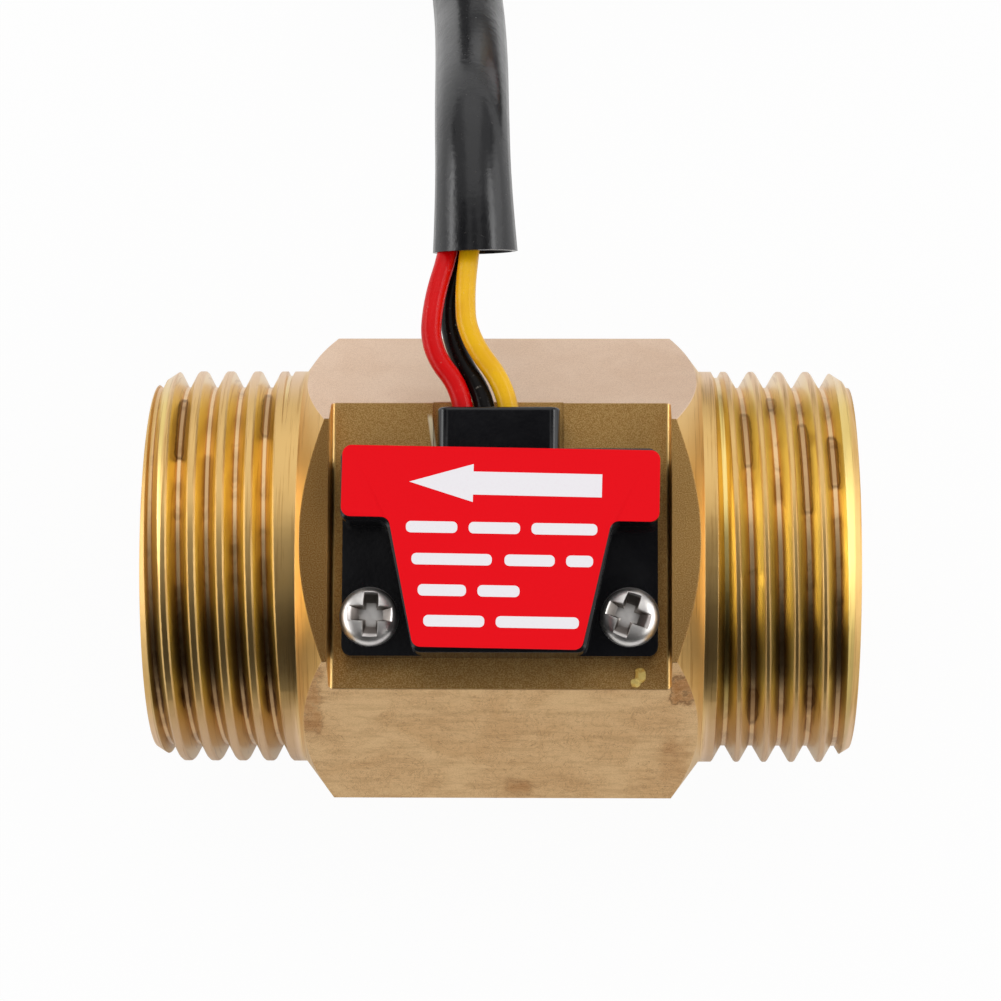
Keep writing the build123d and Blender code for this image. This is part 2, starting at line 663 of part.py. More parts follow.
def all_parts():
    """Every piece of the sensor by its name."""
    parts = {
        "brass_body": brass_body(),
        "outlet_guide": outlet_guide(),
        "inlet_guide": inlet_guide(),
        "outlet_bush": bush(OUTLET_GUIDE_FACE, -1),
        "inlet_bush": bush(INLET_GUIDE_FACE, 1),
        "retaining_ring": retaining_ring(),
        "turbine_rotor": turbine_rotor(),
        "rotor_shaft": rotor_shaft(),
        "rotor_magnet": rotor_magnet(),
        "sensor_housing": sensor_housing(),
        "circuit_board": circuit_board(),
        "hall_chip": hall_chip(),
        "pull_up_chip": pull_up_chip(),
        "potting": potting(),
        "label": label(),
        "screw_left": pan_head_screw(-SCREW_SPACING / 2, LEFT_RECESS_TURN),
        "screw_right": pan_head_screw(SCREW_SPACING / 2, RIGHT_RECESS_TURN),
        "cable_sleeve": cable_sleeve(),
        "cable_coil": cable_coil(),
        "coil_tie": tie_loop(),
        "plug_housing": plug_housing(),
    }
    for name in WIRE_ROUTES:
        parts["wire_" + name] = lead_wire(name)
    for name in TAIL_ROUTES:
        parts["tail_" + name] = tail_wire(name)
        parts["plug_terminal_" + name] = plug_terminal(name)
    return parts


def print_route(name, route, diameter):
    """Print a route's length, its diameter and its bend radii."""
    radii = ", ".join(f"{radius:.1f}" for radius in corner_radii(route))
    print(f"{name}: length {route_wire(route).length:.1f}, diameter {diameter}, bend radii {radii}")


os.makedirs("parts", exist_ok=True)
for part_name, part in all_parts().items():
    export_step(part, "parts/" + part_name + ".step")
for wire_name, wire_route in WIRE_ROUTES.items():
    print_route("wire_" + wire_name, wire_route, WIRE_DIAMETER)
print_route("cable_sleeve", SLEEVE_ROUTE, SLEEVE_DIAMETER)
for tail_name, tail_points in TAIL_ROUTES.items():
    print_route("tail_" + tail_name, tail_points, WIRE_DIAMETER)
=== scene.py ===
"""Looks of a water flow sensor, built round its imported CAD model.

Water flows along X, the body lies on the floor at Z = 0, and Y = 0 is the flow axis. Sizes are written in
millimetres and turned into the model's metres where a mesh is made.
"""

import logging
import math
from contextlib import contextmanager
from dataclasses import dataclass
from enum import Enum
from typing import Callable, Iterator, Sequence

import bmesh
import bpy
from mathutils import Matrix, Vector


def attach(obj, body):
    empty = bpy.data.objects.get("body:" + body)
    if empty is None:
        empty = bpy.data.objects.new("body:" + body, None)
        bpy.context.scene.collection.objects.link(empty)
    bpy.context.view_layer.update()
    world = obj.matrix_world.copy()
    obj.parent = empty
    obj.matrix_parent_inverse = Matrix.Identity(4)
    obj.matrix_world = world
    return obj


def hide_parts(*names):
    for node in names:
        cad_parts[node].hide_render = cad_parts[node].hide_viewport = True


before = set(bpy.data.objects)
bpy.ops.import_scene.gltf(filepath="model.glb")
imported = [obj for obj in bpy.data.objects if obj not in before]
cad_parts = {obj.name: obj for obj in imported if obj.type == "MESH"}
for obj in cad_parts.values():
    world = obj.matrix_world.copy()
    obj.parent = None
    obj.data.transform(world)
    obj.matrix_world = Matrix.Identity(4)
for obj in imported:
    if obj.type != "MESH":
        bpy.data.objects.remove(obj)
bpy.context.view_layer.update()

MM = 0.001
COPY_MERGE = 0.002
FINE_MERGE = 0.0005
AXIS_Z = 17.0
FIXED_BODY = "body"
LOG = logging.getLogger("flow_sensor")

Point = tuple[float, float, float]
Colour = tuple[float, float, float, float]
Span = tuple[float, float]


def metres(point: Sequence[float]) -> Point:
    """Turns a place in millimetres into the model's metres."""
    x, y, z = point
    return (x * MM, y * MM, z * MM)


def srgb(red: float, green: float, blue: float) -> Colour:
    """Turns display values from 0 to 255 into a linear colour."""
    return tuple(((value / 255 + 0.055) / 1.055) ** 2.4 for value in (red, green, blue)) + (1.0,)


class Kind(Enum):
    """What is picked in edit mode."""

    CORNER = "VERT"
    EDGE = "EDGE"


def math_node(operation: str, swapped: bool = False) -> Callable[..., "Socket"]:
    """Makes a method of Socket that adds one Math node.

    Args:
        operation: the node's operation.
        swapped: True if the other value comes first.

    Returns:
        The method.
    """

    def method(self: "Socket", other: object = 0.0) -> "Socket":
        """Adds the node and returns its result."""
        first, second = (other, self) if swapped else (self, other)
        made = self.shader.node("ShaderNodeMath", {"operation": operation}, {0: first, 1: second})
        return Socket(self.shader, made.outputs[0])

    return method


class Socket:
    """One shader value, on which Python's operators add Math nodes."""

    def __init__(self, shader: "Tree", link: bpy.types.NodeSocket) -> None:
        """Keeps the tree that the value belongs to and its output socket."""
        self.shader = shader
        self.link = link

    __add__ = math_node("ADD")
    __radd__ = math_node("ADD", swapped=True)
    __sub__ = math_node("SUBTRACT")
    __rsub__ = math_node("SUBTRACT", swapped=True)
    __mul__ = math_node("MULTIPLY")
    __rmul__ = math_node("MULTIPLY", swapped=True)
    __abs__ = math_node("ABSOLUTE")
    root = math_node("SQRT")
    larger = math_node("MAXIMUM")
    smaller = math_node("MINIMUM")

    def step(self, low: float, high: float) -> "Socket":
        """Smooth step from 0 at low to 1 at high, which may be the lesser number.

        Args:
            low: value at which the result is 0.
            high: value at which the result is 1.

        Returns:
            The eased value.
        """
        made = self.shader.node(
            "ShaderNodeMapRange", {"interpolation_type": "SMOOTHSTEP"}, {0: self, 1: low, 2: high}
        )
        return Socket(self.shader, made.outputs[0])


class Tree:
    """A node tree that is built from empty."""

    def __init__(self, tree: bpy.types.NodeTree) -> None:
        """Empties the tree.

        Args:
            tree: the tree of a material or of the world.
        """
        self.tree = tree
        self.tree.nodes.clear()

    def node(self, kind: str, settings: dict | None = None, values: dict | None = None) -> bpy.types.Node:
        """Adds one node.

        Args:
            kind: the node's type.
            settings: its own settings, which are set first.
            values: numbers, colours or links for its sockets, by name or index.

        Returns:
            The new node.
        """
        made = self.tree.nodes.new(kind)
        for key, value in (settings or {}).items():
            setattr(made, key, value)
        for key, value in (values or {}).items():
            self.feed(made.inputs[key], value)
        return made

    def feed(self, socket: bpy.types.NodeSocket, value: object) -> None:
        """Links a value to a socket, or sets the socket to a constant."""
        if isinstance(value, Socket):
            self.tree.links.new(value.link, socket)
        elif isinstance(value, bpy.types.NodeSocket):
            self.tree.links.new(value, socket)
        else:
            socket.default_value = value

    def axes(self, vector: bpy.types.NodeSocket) -> tuple["Socket", "Socket", "Socket"]:
        """Splits a vector into its three values."""
        parts = self.node("ShaderNodeSeparateXYZ", {}, {0: vector})
        return tuple(Socket(self, parts.outputs[index]) for index in range(3))

    def rays(self) -> tuple["Socket", "Socket"]:
        """Tells what a ray is for: 1 for the camera's rays, and 1 for mirrored and passing ones."""
        path = self.node("ShaderNodeLightPath")
        glossy = Socket(self, path.outputs["Is Glossy Ray"])
        passing = Socket(self, path.outputs["Is Transmission Ray"])
        return Socket(self, path.outputs["Is Camera Ray"]), glossy.larger(passing)


class Shader(Tree):
    """One material's node tree, with its principled surface."""

    def __init__(self, name: str, edge: float = 0.0, **constants: object) -> None:
        """Makes the material.

        Args:
            name: the finish's name.
            edge: radius in millimetres that edges are softened by, or 0.
            constants: values of the surface that are the same all over.
        """
        self.material = bpy.data.materials.new(name)
        self.material.use_nodes = True
        super().__init__(self.material.node_tree)
        self.output = self.node("ShaderNodeOutputMaterial")
        self.surface = self.node("ShaderNodeBsdfPrincipled")
        self.tree.links.new(self.surface.outputs[0], self.output.inputs["Surface"])
        for key, value in constants.items():
            self.surface.inputs[key.replace("_", " ")].default_value = value
        self.soft_normal = None
        if edge:
            made = self.node("ShaderNodeBevel", {"samples": 3}, {"Radius": edge * MM})
            self.soft_normal = made.outputs[0]
        place = self.node("ShaderNodeTexCoord").outputs["Object"]
        scaled = self.node("ShaderNodeVectorMath", {"operation": "SCALE"}, {0: place, "Scale": 1 / MM})
        self.place = scaled.outputs[0]
        self.x, self.y, self.z = self.axes(self.place)

    def noise(
        self, scale: float, detail: float, rough: float, warp: float = 0.0, stretch: Point = (1, 1, 1)
    ) -> Socket:
        """Cloudy noise round 0.5.

        Args:
            scale: features to a millimetre.
            detail: octaves.
            rough: share of the finer octaves.
            warp: distortion.
            stretch: how much faster the pattern runs along each axis.

        Returns:
            The noise value.
        """
        place = self.place
        if tuple(stretch) != (1, 1, 1):
            made = self.node("ShaderNodeVectorMath", {"operation": "MULTIPLY"}, {0: place, 1: stretch})
            place = made.outputs[0]
        made = self.node(
            "ShaderNodeTexNoise",
            {},
            {"Vector": place, "Scale": scale, "Detail": detail, "Roughness": rough, "Distortion": warp},
        )
        return Socket(self, made.outputs[0])

    def mix(self, share: object, first: object, second: object, blend: str = "MIX") -> bpy.types.NodeSocket:
        """Mixes two colours.

        Args:
            share: how much of the second colour shows.
            first: the first colour.
            second: the second colour.
            blend: the way of mixing.

        Returns:
            The mixed colour's socket.
        """
        made = self.node(
            "ShaderNodeMix", {"data_type": "RGBA", "blend_type": blend}, {0: share, 6: first, 7: second}
        )
        return made.outputs[2]

    def layers(self, base: object, *layers: tuple) -> bpy.types.NodeSocket:
        """Lays colours over a base, one after the other.

        Args:
            base: the lowest colour.
            layers: each one's share and colour, with "MULTIPLY" after them where it only darkens.

        Returns:
            The topmost colour's socket.
        """
        for share, colour, *blend in layers:
            base = self.mix(share, base, colour, *blend)
        return base

    def bump(self, height: object, depth: float) -> bpy.types.NodeSocket:
        """Bump from a height field, on top of the softened edges.

        Args:
            height: the field, from 0 to 1.
            depth: the field's depth in millimetres.

        Returns:
            The bumped normal's socket.
        """
        values = {"Strength": 1.0, "Distance": depth * MM, "Height": height}
        if self.soft_normal is not None:
            values["Normal"] = self.soft_normal
        return self.node("ShaderNodeBump", {}, values).outputs[0]

    def finish(self, **links: object) -> bpy.types.Material:
        """Feeds the surface and returns the material.

        Args:
            links: values or links for the surface's sockets.

        Returns:
            The finished material.
        """
        for key, value in links.items():
            self.feed(self.surface.inputs[key.replace("_", " ")], value)
        return self.material


class Bench:
    """Makes and shapes one mesh at a time, always from an empty selection."""

    @staticmethod
    def clear() -> None:
        """Leaves edit mode and selects nothing."""
        if bpy.context.mode != "OBJECT":
            bpy.ops.object.mode_set(mode="OBJECT")
        bpy.ops.object.select_all(action="DESELECT")

    @staticmethod
    def only(piece: bpy.types.Object) -> None:
        """Selects one piece alone."""
        Bench.clear()
        piece.select_set(True)
        bpy.context.view_layer.objects.active = piece

    @staticmethod
    @contextmanager
    def editing() -> Iterator[None]:
        """Opens the active piece in edit mode with all of it selected, and closes it again."""
        bpy.ops.object.mode_set(mode="EDIT")
        bpy.ops.mesh.select_all(action="SELECT")
        yield
        bpy.ops.object.mode_set(mode="OBJECT")

    @staticmethod
    def named(name: str) -> bpy.types.Object:
        """Names the active object and its mesh."""
        piece = bpy.context.active_object
        piece.name = name
        piece.data.name = name
        return piece

    @staticmethod
    def settle(piece: bpy.types.Object) -> bpy.types.Object:
        """Puts a piece's place, turn and size into its mesh."""
        Bench.only(piece)
        bpy.ops.object.transform_apply(location=True, rotation=True, scale=True)
        return piece

    @staticmethod
    def add(
        kind: Callable[..., set], name: str, centre: Point, stretch: Point = (1, 1, 1), **settings: object
    ) -> bpy.types.Object:
        """Adds a primitive and puts its place and size into its mesh.

        Args:
            kind: the operator that adds it.
            name: the new piece's name.
            centre: its middle in millimetres.
            stretch: how much it is scaled along each axis.
            settings: the operator's own settings.

        Returns:
            The new piece.
        """
        Bench.clear()
        kind(location=metres(centre), **settings)
        piece = Bench.named(name)
        piece.scale = stretch
        return Bench.settle(piece)

    @staticmethod
    def copy_node(node: str, name: str) -> bpy.types.Object:
        """Copies a CAD node's mesh into a new piece and merges its loose triangles.

        Args:
            node: the CAD node.
            name: the new piece's name.

        Returns:
            The new piece.
        """
        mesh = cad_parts[node].data.copy()
        mesh.materials.clear()
        piece = bpy.data.objects.new(name, mesh)
        mesh.name = name
        bpy.context.scene.collection.objects.link(piece)
        Bench.only(piece)
        bpy.ops.mesh.customdata_custom_splitnormals_clear()
        with Bench.editing():
            bpy.ops.mesh.remove_doubles(threshold=COPY_MERGE * MM)
        return piece

    @staticmethod
    def select(kind: Kind, test: Callable[[object], bool]) -> None:
        """Selects, in edit mode, only what passes a test.

        Args:
            kind: corners or edges.
            test: called with each bmesh element.
        """
        bpy.ops.mesh.select_mode(type=kind.value)
        bpy.ops.mesh.select_all(action="DESELECT")
        mesh = bpy.context.edit_object.data
        shape = bmesh.from_edit_mesh(mesh)
        elements = shape.verts if kind is Kind.CORNER else shape.edges
        elements.ensure_lookup_table()
        for element in [element for element in elements if test(element)]:
            element.select_set(True)
        shape.select_flush_mode()
        bmesh.update_edit_mesh(mesh)

    @staticmethod
    def pick(kind: Kind, test: Callable[[float, float, float], bool]) -> None:
        """Selects corners or edges by their place.

        Args:
            kind: corners or edges.
            test: called with the place of each one's middle, in millimetres.
        """

        def passes(element: object) -> bool:
            """Tells if the middle of one element passes."""
            ends = getattr(element, "verts", (element,))
            return test(*(sum((end.co for end in ends), Vector()) / len(ends) / MM))

        Bench.select(kind, passes)

    @staticmethod
    def turn(degrees: float, centre: Point) -> None:
        """Turns what is selected in edit mode about a vertical axis.

        Args:
            degrees: the turn, anticlockwise from above.
            centre: a place on the axis, in millimetres.
        """
        angle, place = -math.radians(degrees), metres(centre)
        bpy.ops.transform.rotate(value=angle, orient_axis="Z", center_override=place)

    @staticmethod
    def modify(piece: bpy.types.Object, kind: str, **settings: object) -> None:
        """Adds a modifier and applies it."""
        Bench.only(piece)
        bpy.ops.object.modifier_add(type=kind)
        modifier = piece.modifiers[-1]
        for key, value in settings.items():
            setattr(modifier, key, value)
        bpy.ops.object.modifier_apply(modifier=modifier.name)

    @staticmethod
    def round_edges(piece: bpy.types.Object, width: float, segments: int, angle: float) -> None:
        """Rounds a piece's sharp edges.

        Args:
            piece: the piece.
            width: the rounding in millimetres.
            segments: how many faces it has.
            angle: angle in degrees from which an edge is rounded.
        """
        limit = {"limit_method": "ANGLE", "angle_limit": math.radians(angle)}
        Bench.modify(piece, "BEVEL", width=width * MM, segments=segments, use_clamp_overlap=True, **limit)

    @staticmethod
    def tidy(piece: bpy.types.Object, smooth: float = 30.0, merge: float = 0.001) -> bpy.types.Object:
        """Merges doubles, turns faces outwards and shades by angle.

        Args:
            piece: the piece.
            smooth: angle in degrees under which neighbours are shaded as one surface.
            merge: distance in millimetres under which points are merged.

        Returns:
            The same piece.
        """
        Bench.only(piece)
        with Bench.editing():
            bpy.ops.mesh.remove_doubles(threshold=merge * MM)
            bpy.ops.mesh.normals_make_consistent(inside=False)
        bpy.ops.object.shade_smooth_by_angle(angle=math.radians(smooth))
        return piece

    @staticmethod
    def lathe(name: str, profile: Sequence[Span], centre: Span, sides: int) -> bpy.types.Object:
        """Builds a closed turned solid about a vertical axis, ring on ring.

        Args:
            name: the piece's name.
            profile: radius and height of each ring, from the lowest up, in millimetres.
            centre: X and Y of the axis.
            sides: corners of each ring.

        Returns:
            The new piece.
        """
        radius, height = profile[0]
        piece = Bench.add(
            bpy.ops.mesh.primitive_circle_add, name, (*centre, height),
            vertices=sides, radius=radius * MM, fill_type="NGON",
        )
        with Bench.editing():
            for new_radius, new_height in profile[1:]:
                rise = {"value": (0, 0, (new_height - height) * MM)}
                bpy.ops.mesh.extrude_region_move(TRANSFORM_OT_translate=rise)
                share = new_radius / radius
                place = metres((*centre, new_height))
                bpy.ops.transform.resize(value=(share, share, 1), center_override=place)
                radius, height = new_radius, new_height
        return Bench.tidy(piece)


def put_on(piece: bpy.types.Object, material: bpy.types.Material) -> None:
    """Gives a piece or a CAD node one material."""
    piece.data.materials.clear()
    piece.data.materials.append(material)


def dress_nodes(**worn: bpy.types.Material) -> None:
    """Gives CAD nodes that are shown as they are their materials."""
    for node, material in worn.items():
        put_on(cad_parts[node], material)
        LOG.info("%s dressed in %s", node, material.name)


def dress(piece: bpy.types.Object, material: bpy.types.Material, slot: str, *nodes: str) -> None:
    """Gives a new piece its material and its body, hides the CAD nodes that it stands for, and logs its slot.

    Args:
        piece: the new piece.
        material: its material.
        slot: the record's material slot, which is only logged.
        nodes: the CAD nodes that it replaces.
    """
    put_on(piece, material)
    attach(piece, FIXED_BODY)
    if nodes:
        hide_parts(*nodes)
    LOG.info("%s dressed in %s, slot %s", piece.name, material.name, slot)


# Finishes
class Place(Enum):
    """Where a water mark has dried."""

    GROOVE = "groove"
    FACE = "face"


@dataclass(frozen=True)
class Stain:
    """One dried water mark on the front side: where it is and half its size, in millimetres."""

    x: float
    y: float
    wide: float
    tall: float
    strength: float = 1.0
    wander: float = 0.35
    place: Place = Place.FACE


def in_groove(x: float, y: float, tall: float, strength: float = 0.8) -> Stain:
    """A mark that has dried along a thread's root.

    Args:
        x: its middle along the axis.
        y: its middle across.
        tall: half its length.
        strength: how dark it is.

    Returns:
        The mark.
    """
    return Stain(x, y, 0.9, tall, strength, 0.25, Place.GROOVE)


STAINS = (
    in_groove(-26.4, 9.96, 2.85, 1.0), in_groove(-19.4, 11.3, 2.1), in_groove(-24.1, 10.3, 0.8, 0.4),
    in_groove(-21.7, 10.6, 0.7, 0.4), in_groove(17.7, 7.1, 1.8, 0.5), in_groove(20.0, 8.9, 2.4, 0.8),
    in_groove(22.2, 12.4, 0.6, 0.7), in_groove(24.6, 6.4, 3.9, 0.8), in_groove(26.9, 6.9, 2.2, 0.9),
    in_groove(-26.9, -12.1, 0.9, 1.0), in_groove(-24.6, -12.3, 0.3, 1.0), in_groove(-20.0, -11.9, 1.5, 1.0),
    in_groove(-17.6, -12.4, 0.9, 1.0), in_groove(20.5, -12.5, 1.2, 0.9), in_groove(24.9, -11.9, 0.8, 0.8),
    Stain(-15.6, -12.3, 0.7, 2.0, 0.55, 2.2), Stain(15.0, -11.7, 0.8, 0.5, 0.8, 1.5),
    Stain(14.4, -16.9, 0.8, 1.2, 0.3, 2.0), Stain(1.4, -18.9, 0.7, 0.1, 0.5, 0.8),
)


@dataclass(frozen=True)
class Brass:
    """Turned, milled and slightly stained brass, with painted highlights, sheen and shade: its colours, and
    where its zones lie in millimetres.
    """

    name: str = "turned_brass"
    bright: Colour = srgb(230, 190, 122)
    tarnished: Colour = srgb(214, 168, 92)
    turned_line: Colour = srgb(186, 150, 96)
    flank: Colour = srgb(240, 211, 128)
    flank_lit: Colour = srgb(255, 226, 142)
    root: Colour = srgb(238, 200, 148)
    root_shade: Colour = srgb(84, 50, 22)
    low_shade: Colour = srgb(214, 202, 180)
    painted_sheen: Colour = srgb(240, 212, 190)
    sawn_upper: Colour = srgb(250, 222, 196)
    sawn_lower_stain_and_shade: Colour = srgb(240, 204, 152)
    sawn_shade: Colour = srgb(206, 168, 116)
    sawn_wisp: Colour = srgb(150, 106, 62)
    sawn_drawn: Colour = srgb(180, 150, 116)
    sawn_grain: Colour = srgb(200, 178, 158)
    milled: Colour = srgb(196, 150, 86)
    milled_shade: Colour = srgb(156, 112, 60)
    milled_glint: Colour = srgb(228, 194, 130)
    milled_strip_shade: Colour = srgb(190, 178, 166)
    gap: Colour = srgb(196, 130, 76)
    painted_edge_light: Colour = srgb(255, 240, 200)
    dirt: Colour = srgb(120, 74, 30)
    dried: Colour = srgb(212, 176, 134)
    dried_rim: Colour = srgb(92, 52, 18)
    gouge: Colour = srgb(226, 178, 84)
    gouge_lit: Colour = srgb(255, 222, 130)
    softened: float = 0.09
    depth: float = 0.013
    gloss: float = 0.3
    flats_turn: float = math.radians(60)
    slanted: Span = (16.92, 16.98)
    hexagon_end: Span = (16.15, 16.05)
    front_flat: Span = (33.92, 33.97)
    front_side: Span = (17.0, 18.0)
    seat_end: Span = (13.55, 13.4)
    seat_over: Span = (29.5, 29.6)
    seat_under: Span = (30.85, 30.78)
    seat_strip: Span = (13.4, 13.6)
    ends_from: Span = (16.6, 17.2)
    ends_to: Span = (28.7, 28.4)
    outside_bore: Span = (14.85, 14.95)
    below_crest: Span = (16.42, 16.3)
    crest: Span = (16.3, 16.4)
    rim: Span = (27.9, 28.2)
    root_flat: Span = (15.34, 15.24)
    root_corner: Span = (15.7, 15.25)
    root_wide: Span = (16.2, 15.5)
    mark_radius: float = 15.48
    mark_round: float = 0.3
    gap_x: float = -5.25
    edge_light_x: float = -5.62
    edge_light_y: float = 9.4
    edge_light_slope: float = 0.14
    ding: Stain = Stain(11.3, -10.55, 0.12, 0.3, wander=0.3)
    ding_tail: Stain = Stain(10.93, -11.2, 0.08, 0.02, wander=0.3)

    def material(self) -> bpy.types.Material:
        """Makes the material."""
        return BrassTree(self).build()


class BrassTree(Shader):
    """The brass's nodes: its zones, told apart by place, and the colours laid over them."""

    def __init__(self, brass: Brass) -> None:
        """Makes the zones and patterns that several layers share.

        Args:
            brass: the colours and places.
        """
        super().__init__(brass.name, edge=brass.softened, Metallic=1.0)
        self.brass = brass
        self.up = self.z - AXIS_Z
        self.reach = abs(self.x)
        self.radius = (self.y * self.y + self.up * self.up).root()
        inside = self.reach.step(*brass.hexagon_end)
        slope = abs(self.y) * math.sin(brass.flats_turn) + abs(self.up) * math.cos(brass.flats_turn)
        self.slanted = slope.step(*brass.slanted) * inside
        seat = self.reach.step(*brass.seat_end)
        seat = seat * self.z.step(*brass.seat_under) * self.z.step(*brass.seat_over)
        self.milled = (seat * (1 - self.slanted)).larger(self.z.step(*brass.front_flat) * inside)
        self.turned = 1 - self.slanted.larger(self.milled)
        self.ends = self.reach.step(*brass.ends_from) * self.reach.step(*brass.ends_to)
        self.ends = self.ends * self.radius.step(*brass.outside_bore)
        self.thread = self.ends * self.radius.step(*brass.below_crest)
        self.cloud = self.noise(0.16, 4.0, 0.6, 0.8)
        self.grain = self.noise(11.0, 2.0, 0.7)
        self.drawn = self.noise(1.6, 4.0, 0.7, 0.4, (0.2, 1.0, 1.0))
        self.lines = self.noise(5.5, 3.0, 0.65, 0.0, (1.0, 0.02, 0.02))
        # painted highlight: a bright line along the lit wall left of the neck, with less metal and more
        # roughness
        self.painted_edge_light = abs(self.x - brass.edge_light_x + (self.y - brass.edge_light_y) * brass.edge_light_slope).step(0.26, 0.1)
        self.painted_edge_light = self.painted_edge_light * self.y.step(7.6, 8.2) * self.y.step(10.9, 10.3) * self.milled
        self.rims, self.fills = self.marks()
        self.chip = self.noise(1.6, 1.0, 0.5)
        self.hit = self.distance(brass.ding, self.chip).smaller(self.distance(brass.ding_tail, self.chip))
        self.gouge = self.hit.step(0.05, -0.05) * self.z.step(30.4, 30.5) * self.z.step(31.0, 30.9)

    def distance(self, stain: Stain, warp: Socket) -> Socket:
        """Distance in millimetres from a mark's wavy edge, less than 0 inside.

        Args:
            stain: the mark.
            warp: the noise that its edge wanders by.

        Returns:
            The distance.
        """
        across, along = abs(self.x - stain.x) - stain.wide, abs(self.y - stain.y) - stain.tall
        corner, wander = self.brass.mark_round, (warp - 0.5) * stain.wander
        if stain.place is Place.GROOVE:
            side = ((self.radius - self.brass.mark_radius) * 0.7 + corner).larger(0.0)
            along = ((along + corner * 2) * 0.5).larger(0.0)
            return across.larger((side * side + along * along).root() - corner) + wander
        across, along = across.larger(0.0), along.larger(0.0)
        return (across * across + along * along).root() - corner + wander

    def marks(self) -> tuple[Socket, Socket]:
        """Adds up every water mark.

        Returns:
            The marks' dark outlines and their paler insides.
        """
        warp = self.noise(0.9, 3.0, 0.6)
        rims, fills = None, None
        for stain in STAINS:
            edge = self.distance(stain, warp)
            soft, here = (0.35, self.slanted) if stain.place is Place.FACE else (0.0, 1 - self.slanted)
            rim = abs(edge).step(0.14, 0.0) * here * max(0.0, stain.strength * 1.6 - 0.6)
            fill = edge.step(0.15 + soft, -0.25 - soft) * here * stain.strength
            rims = rim if rims is None else rims.larger(rim)
            fills = fill if fills is None else fills.larger(fill)
        front = self.z.step(*self.brass.front_side)
        return rims * front, fills * front

    def turned_parts(self) -> bpy.types.NodeSocket:
        """Colour of what is turned: ends, thread flanks and the hexagon's chamfers, with painted light on the
        flanks and painted sheen on the threads' sides.
        """
        brass, y = self.brass, self.y
        # painted highlight: the flanks get a lighter colour than the ends, and a lit copy of it in a band
        # across the middle
        lit = y.step(-4.5, -1.0) * y.step(10.0, 7.0)
        return self.layers(
            brass.bright,
            (self.cloud.step(0.4, 0.8) * 0.35, brass.tarnished),
            (self.thread, self.mix(lit, brass.flank, brass.flank_lit)),
            # painted sheen: the threads' sides towards +Y and -Y are tinted pale pink, as by the light they
            # reflect
            (abs(y).step(11.5, 15.5) * self.reach.step(16.3, 16.9) * 0.6, brass.painted_sheen),
        )

    def sawn_flats(self) -> bpy.types.NodeSocket:
        """Colour of the two slanted flats, the lower one darker, partly as painted shade."""
        brass, cloud, lower = self.brass, self.cloud, self.y.step(0.5, -0.5)
        wisps = abs(self.noise(0.55, 6.0, 0.7, 1.8) - 0.5).step(0.012, 0.0)
        return self.layers(
            brass.sawn_upper,
            # the lower flat, facing -Y, takes a darker copy of the colour and deeper mottle: partly stains,
            # partly painted shade
            (lower, brass.sawn_lower_stain_and_shade),
            (cloud.step(0.35, 0.75) * (0.12 + lower * 0.16), brass.sawn_shade, "MULTIPLY"),
            (wisps * cloud.step(0.4, 0.5) * (0.12 + lower * 0.5), brass.sawn_wisp, "MULTIPLY"),
            (self.drawn.step(0.45, 0.65) * lower * 0.22, brass.sawn_drawn, "MULTIPLY"),
            (self.grain.step(0.42, 0.62) * 0.3, brass.sawn_grain, "MULTIPLY"),
        )

    def milled_flats(self) -> bpy.types.NodeSocket:
        """Colour of the milled seat and of the front flat's rest, with painted shade towards -Y, painted
        glints and shaded end strips.
        """
        brass, grain = self.brass, self.grain
        # painted shade: the seat's end strips are darkened, the -X one most
        strip_shade = self.reach.step(*brass.seat_strip) * (0.2 + self.x.step(1.0, -1.0) * 0.55)
        return self.layers(
            brass.milled,
            # painted shade: the milled seat darkens towards -Y, below the housing
            (self.y.step(2.0, -9.0) * 0.75, brass.milled_shade),
            (grain.step(0.44, 0.62) * 0.6, brass.milled_glint),
            (grain.step(0.5, 0.34) * 0.5, brass.milled_shade),
            (strip_shade, brass.milled_strip_shade, "MULTIPLY"),
        )

    def roots(self, colour: bpy.types.NodeSocket) -> bpy.types.NodeSocket:
        """Lays the thread roots' tint and dirt, and painted shade on their lower side, over a colour."""
        brass, y, radius, ends = self.brass, self.y, self.radius, self.ends
        tint = self.noise(0.3, 3.0, 0.6, 0.6).step(0.5, 0.66)
        # painted shade: the roots darkened on the lower front side, where the threads shade each other
        low = y.step(-4.0, -8.0) * y.step(-14.2, -12.0) * self.z.step(17.0, 20.0)
        return self.layers(
            colour,
            (radius.step(*brass.root_flat) * ends, brass.root),
            (radius.step(*brass.root_corner) * ends * tint * 0.35, brass.dirt),
            (low * ends * radius.step(*brass.root_wide) * 0.5, brass.root_shade),
            # painted shade: the threads' lowest side darkened, as in the object's own shadow
            (y.step(-11.0, -14.0) * ends * 0.75, brass.low_shade, "MULTIPLY"),
        )

    def wear(self, colour: bpy.types.NodeSocket) -> bpy.types.NodeSocket:
        """Lays the water marks and the ding over a colour, the ding with a painted highlight inside and
        painted shade round its edge.
        """
        brass, slanted = self.brass, self.slanted
        # painted highlight: the ding's inside in bright and lit golds
        lit = self.mix(self.chip.step(0.4, 0.6), brass.gouge_lit, brass.gouge)
        return self.layers(
            colour,
            (self.fills * (1 - slanted) * 0.45, brass.dirt),
            (self.fills * slanted * (0.5 + self.drawn), brass.dried, "MULTIPLY"),
            (self.rims * 0.7, brass.dried_rim),
            # painted shade round the ding's edge
            (abs(self.hit).step(0.12, 0.03) * self.gouge.larger(self.milled) * 0.8, brass.milled_shade),
            (self.gouge, lit),
        )

    def build(self) -> bpy.types.Material:
        """Lays all colours over each other and feeds the surface.

        Returns:
            The finished material.
        """
        brass, milled, slanted, y = self.brass, self.milled, self.slanted, self.y
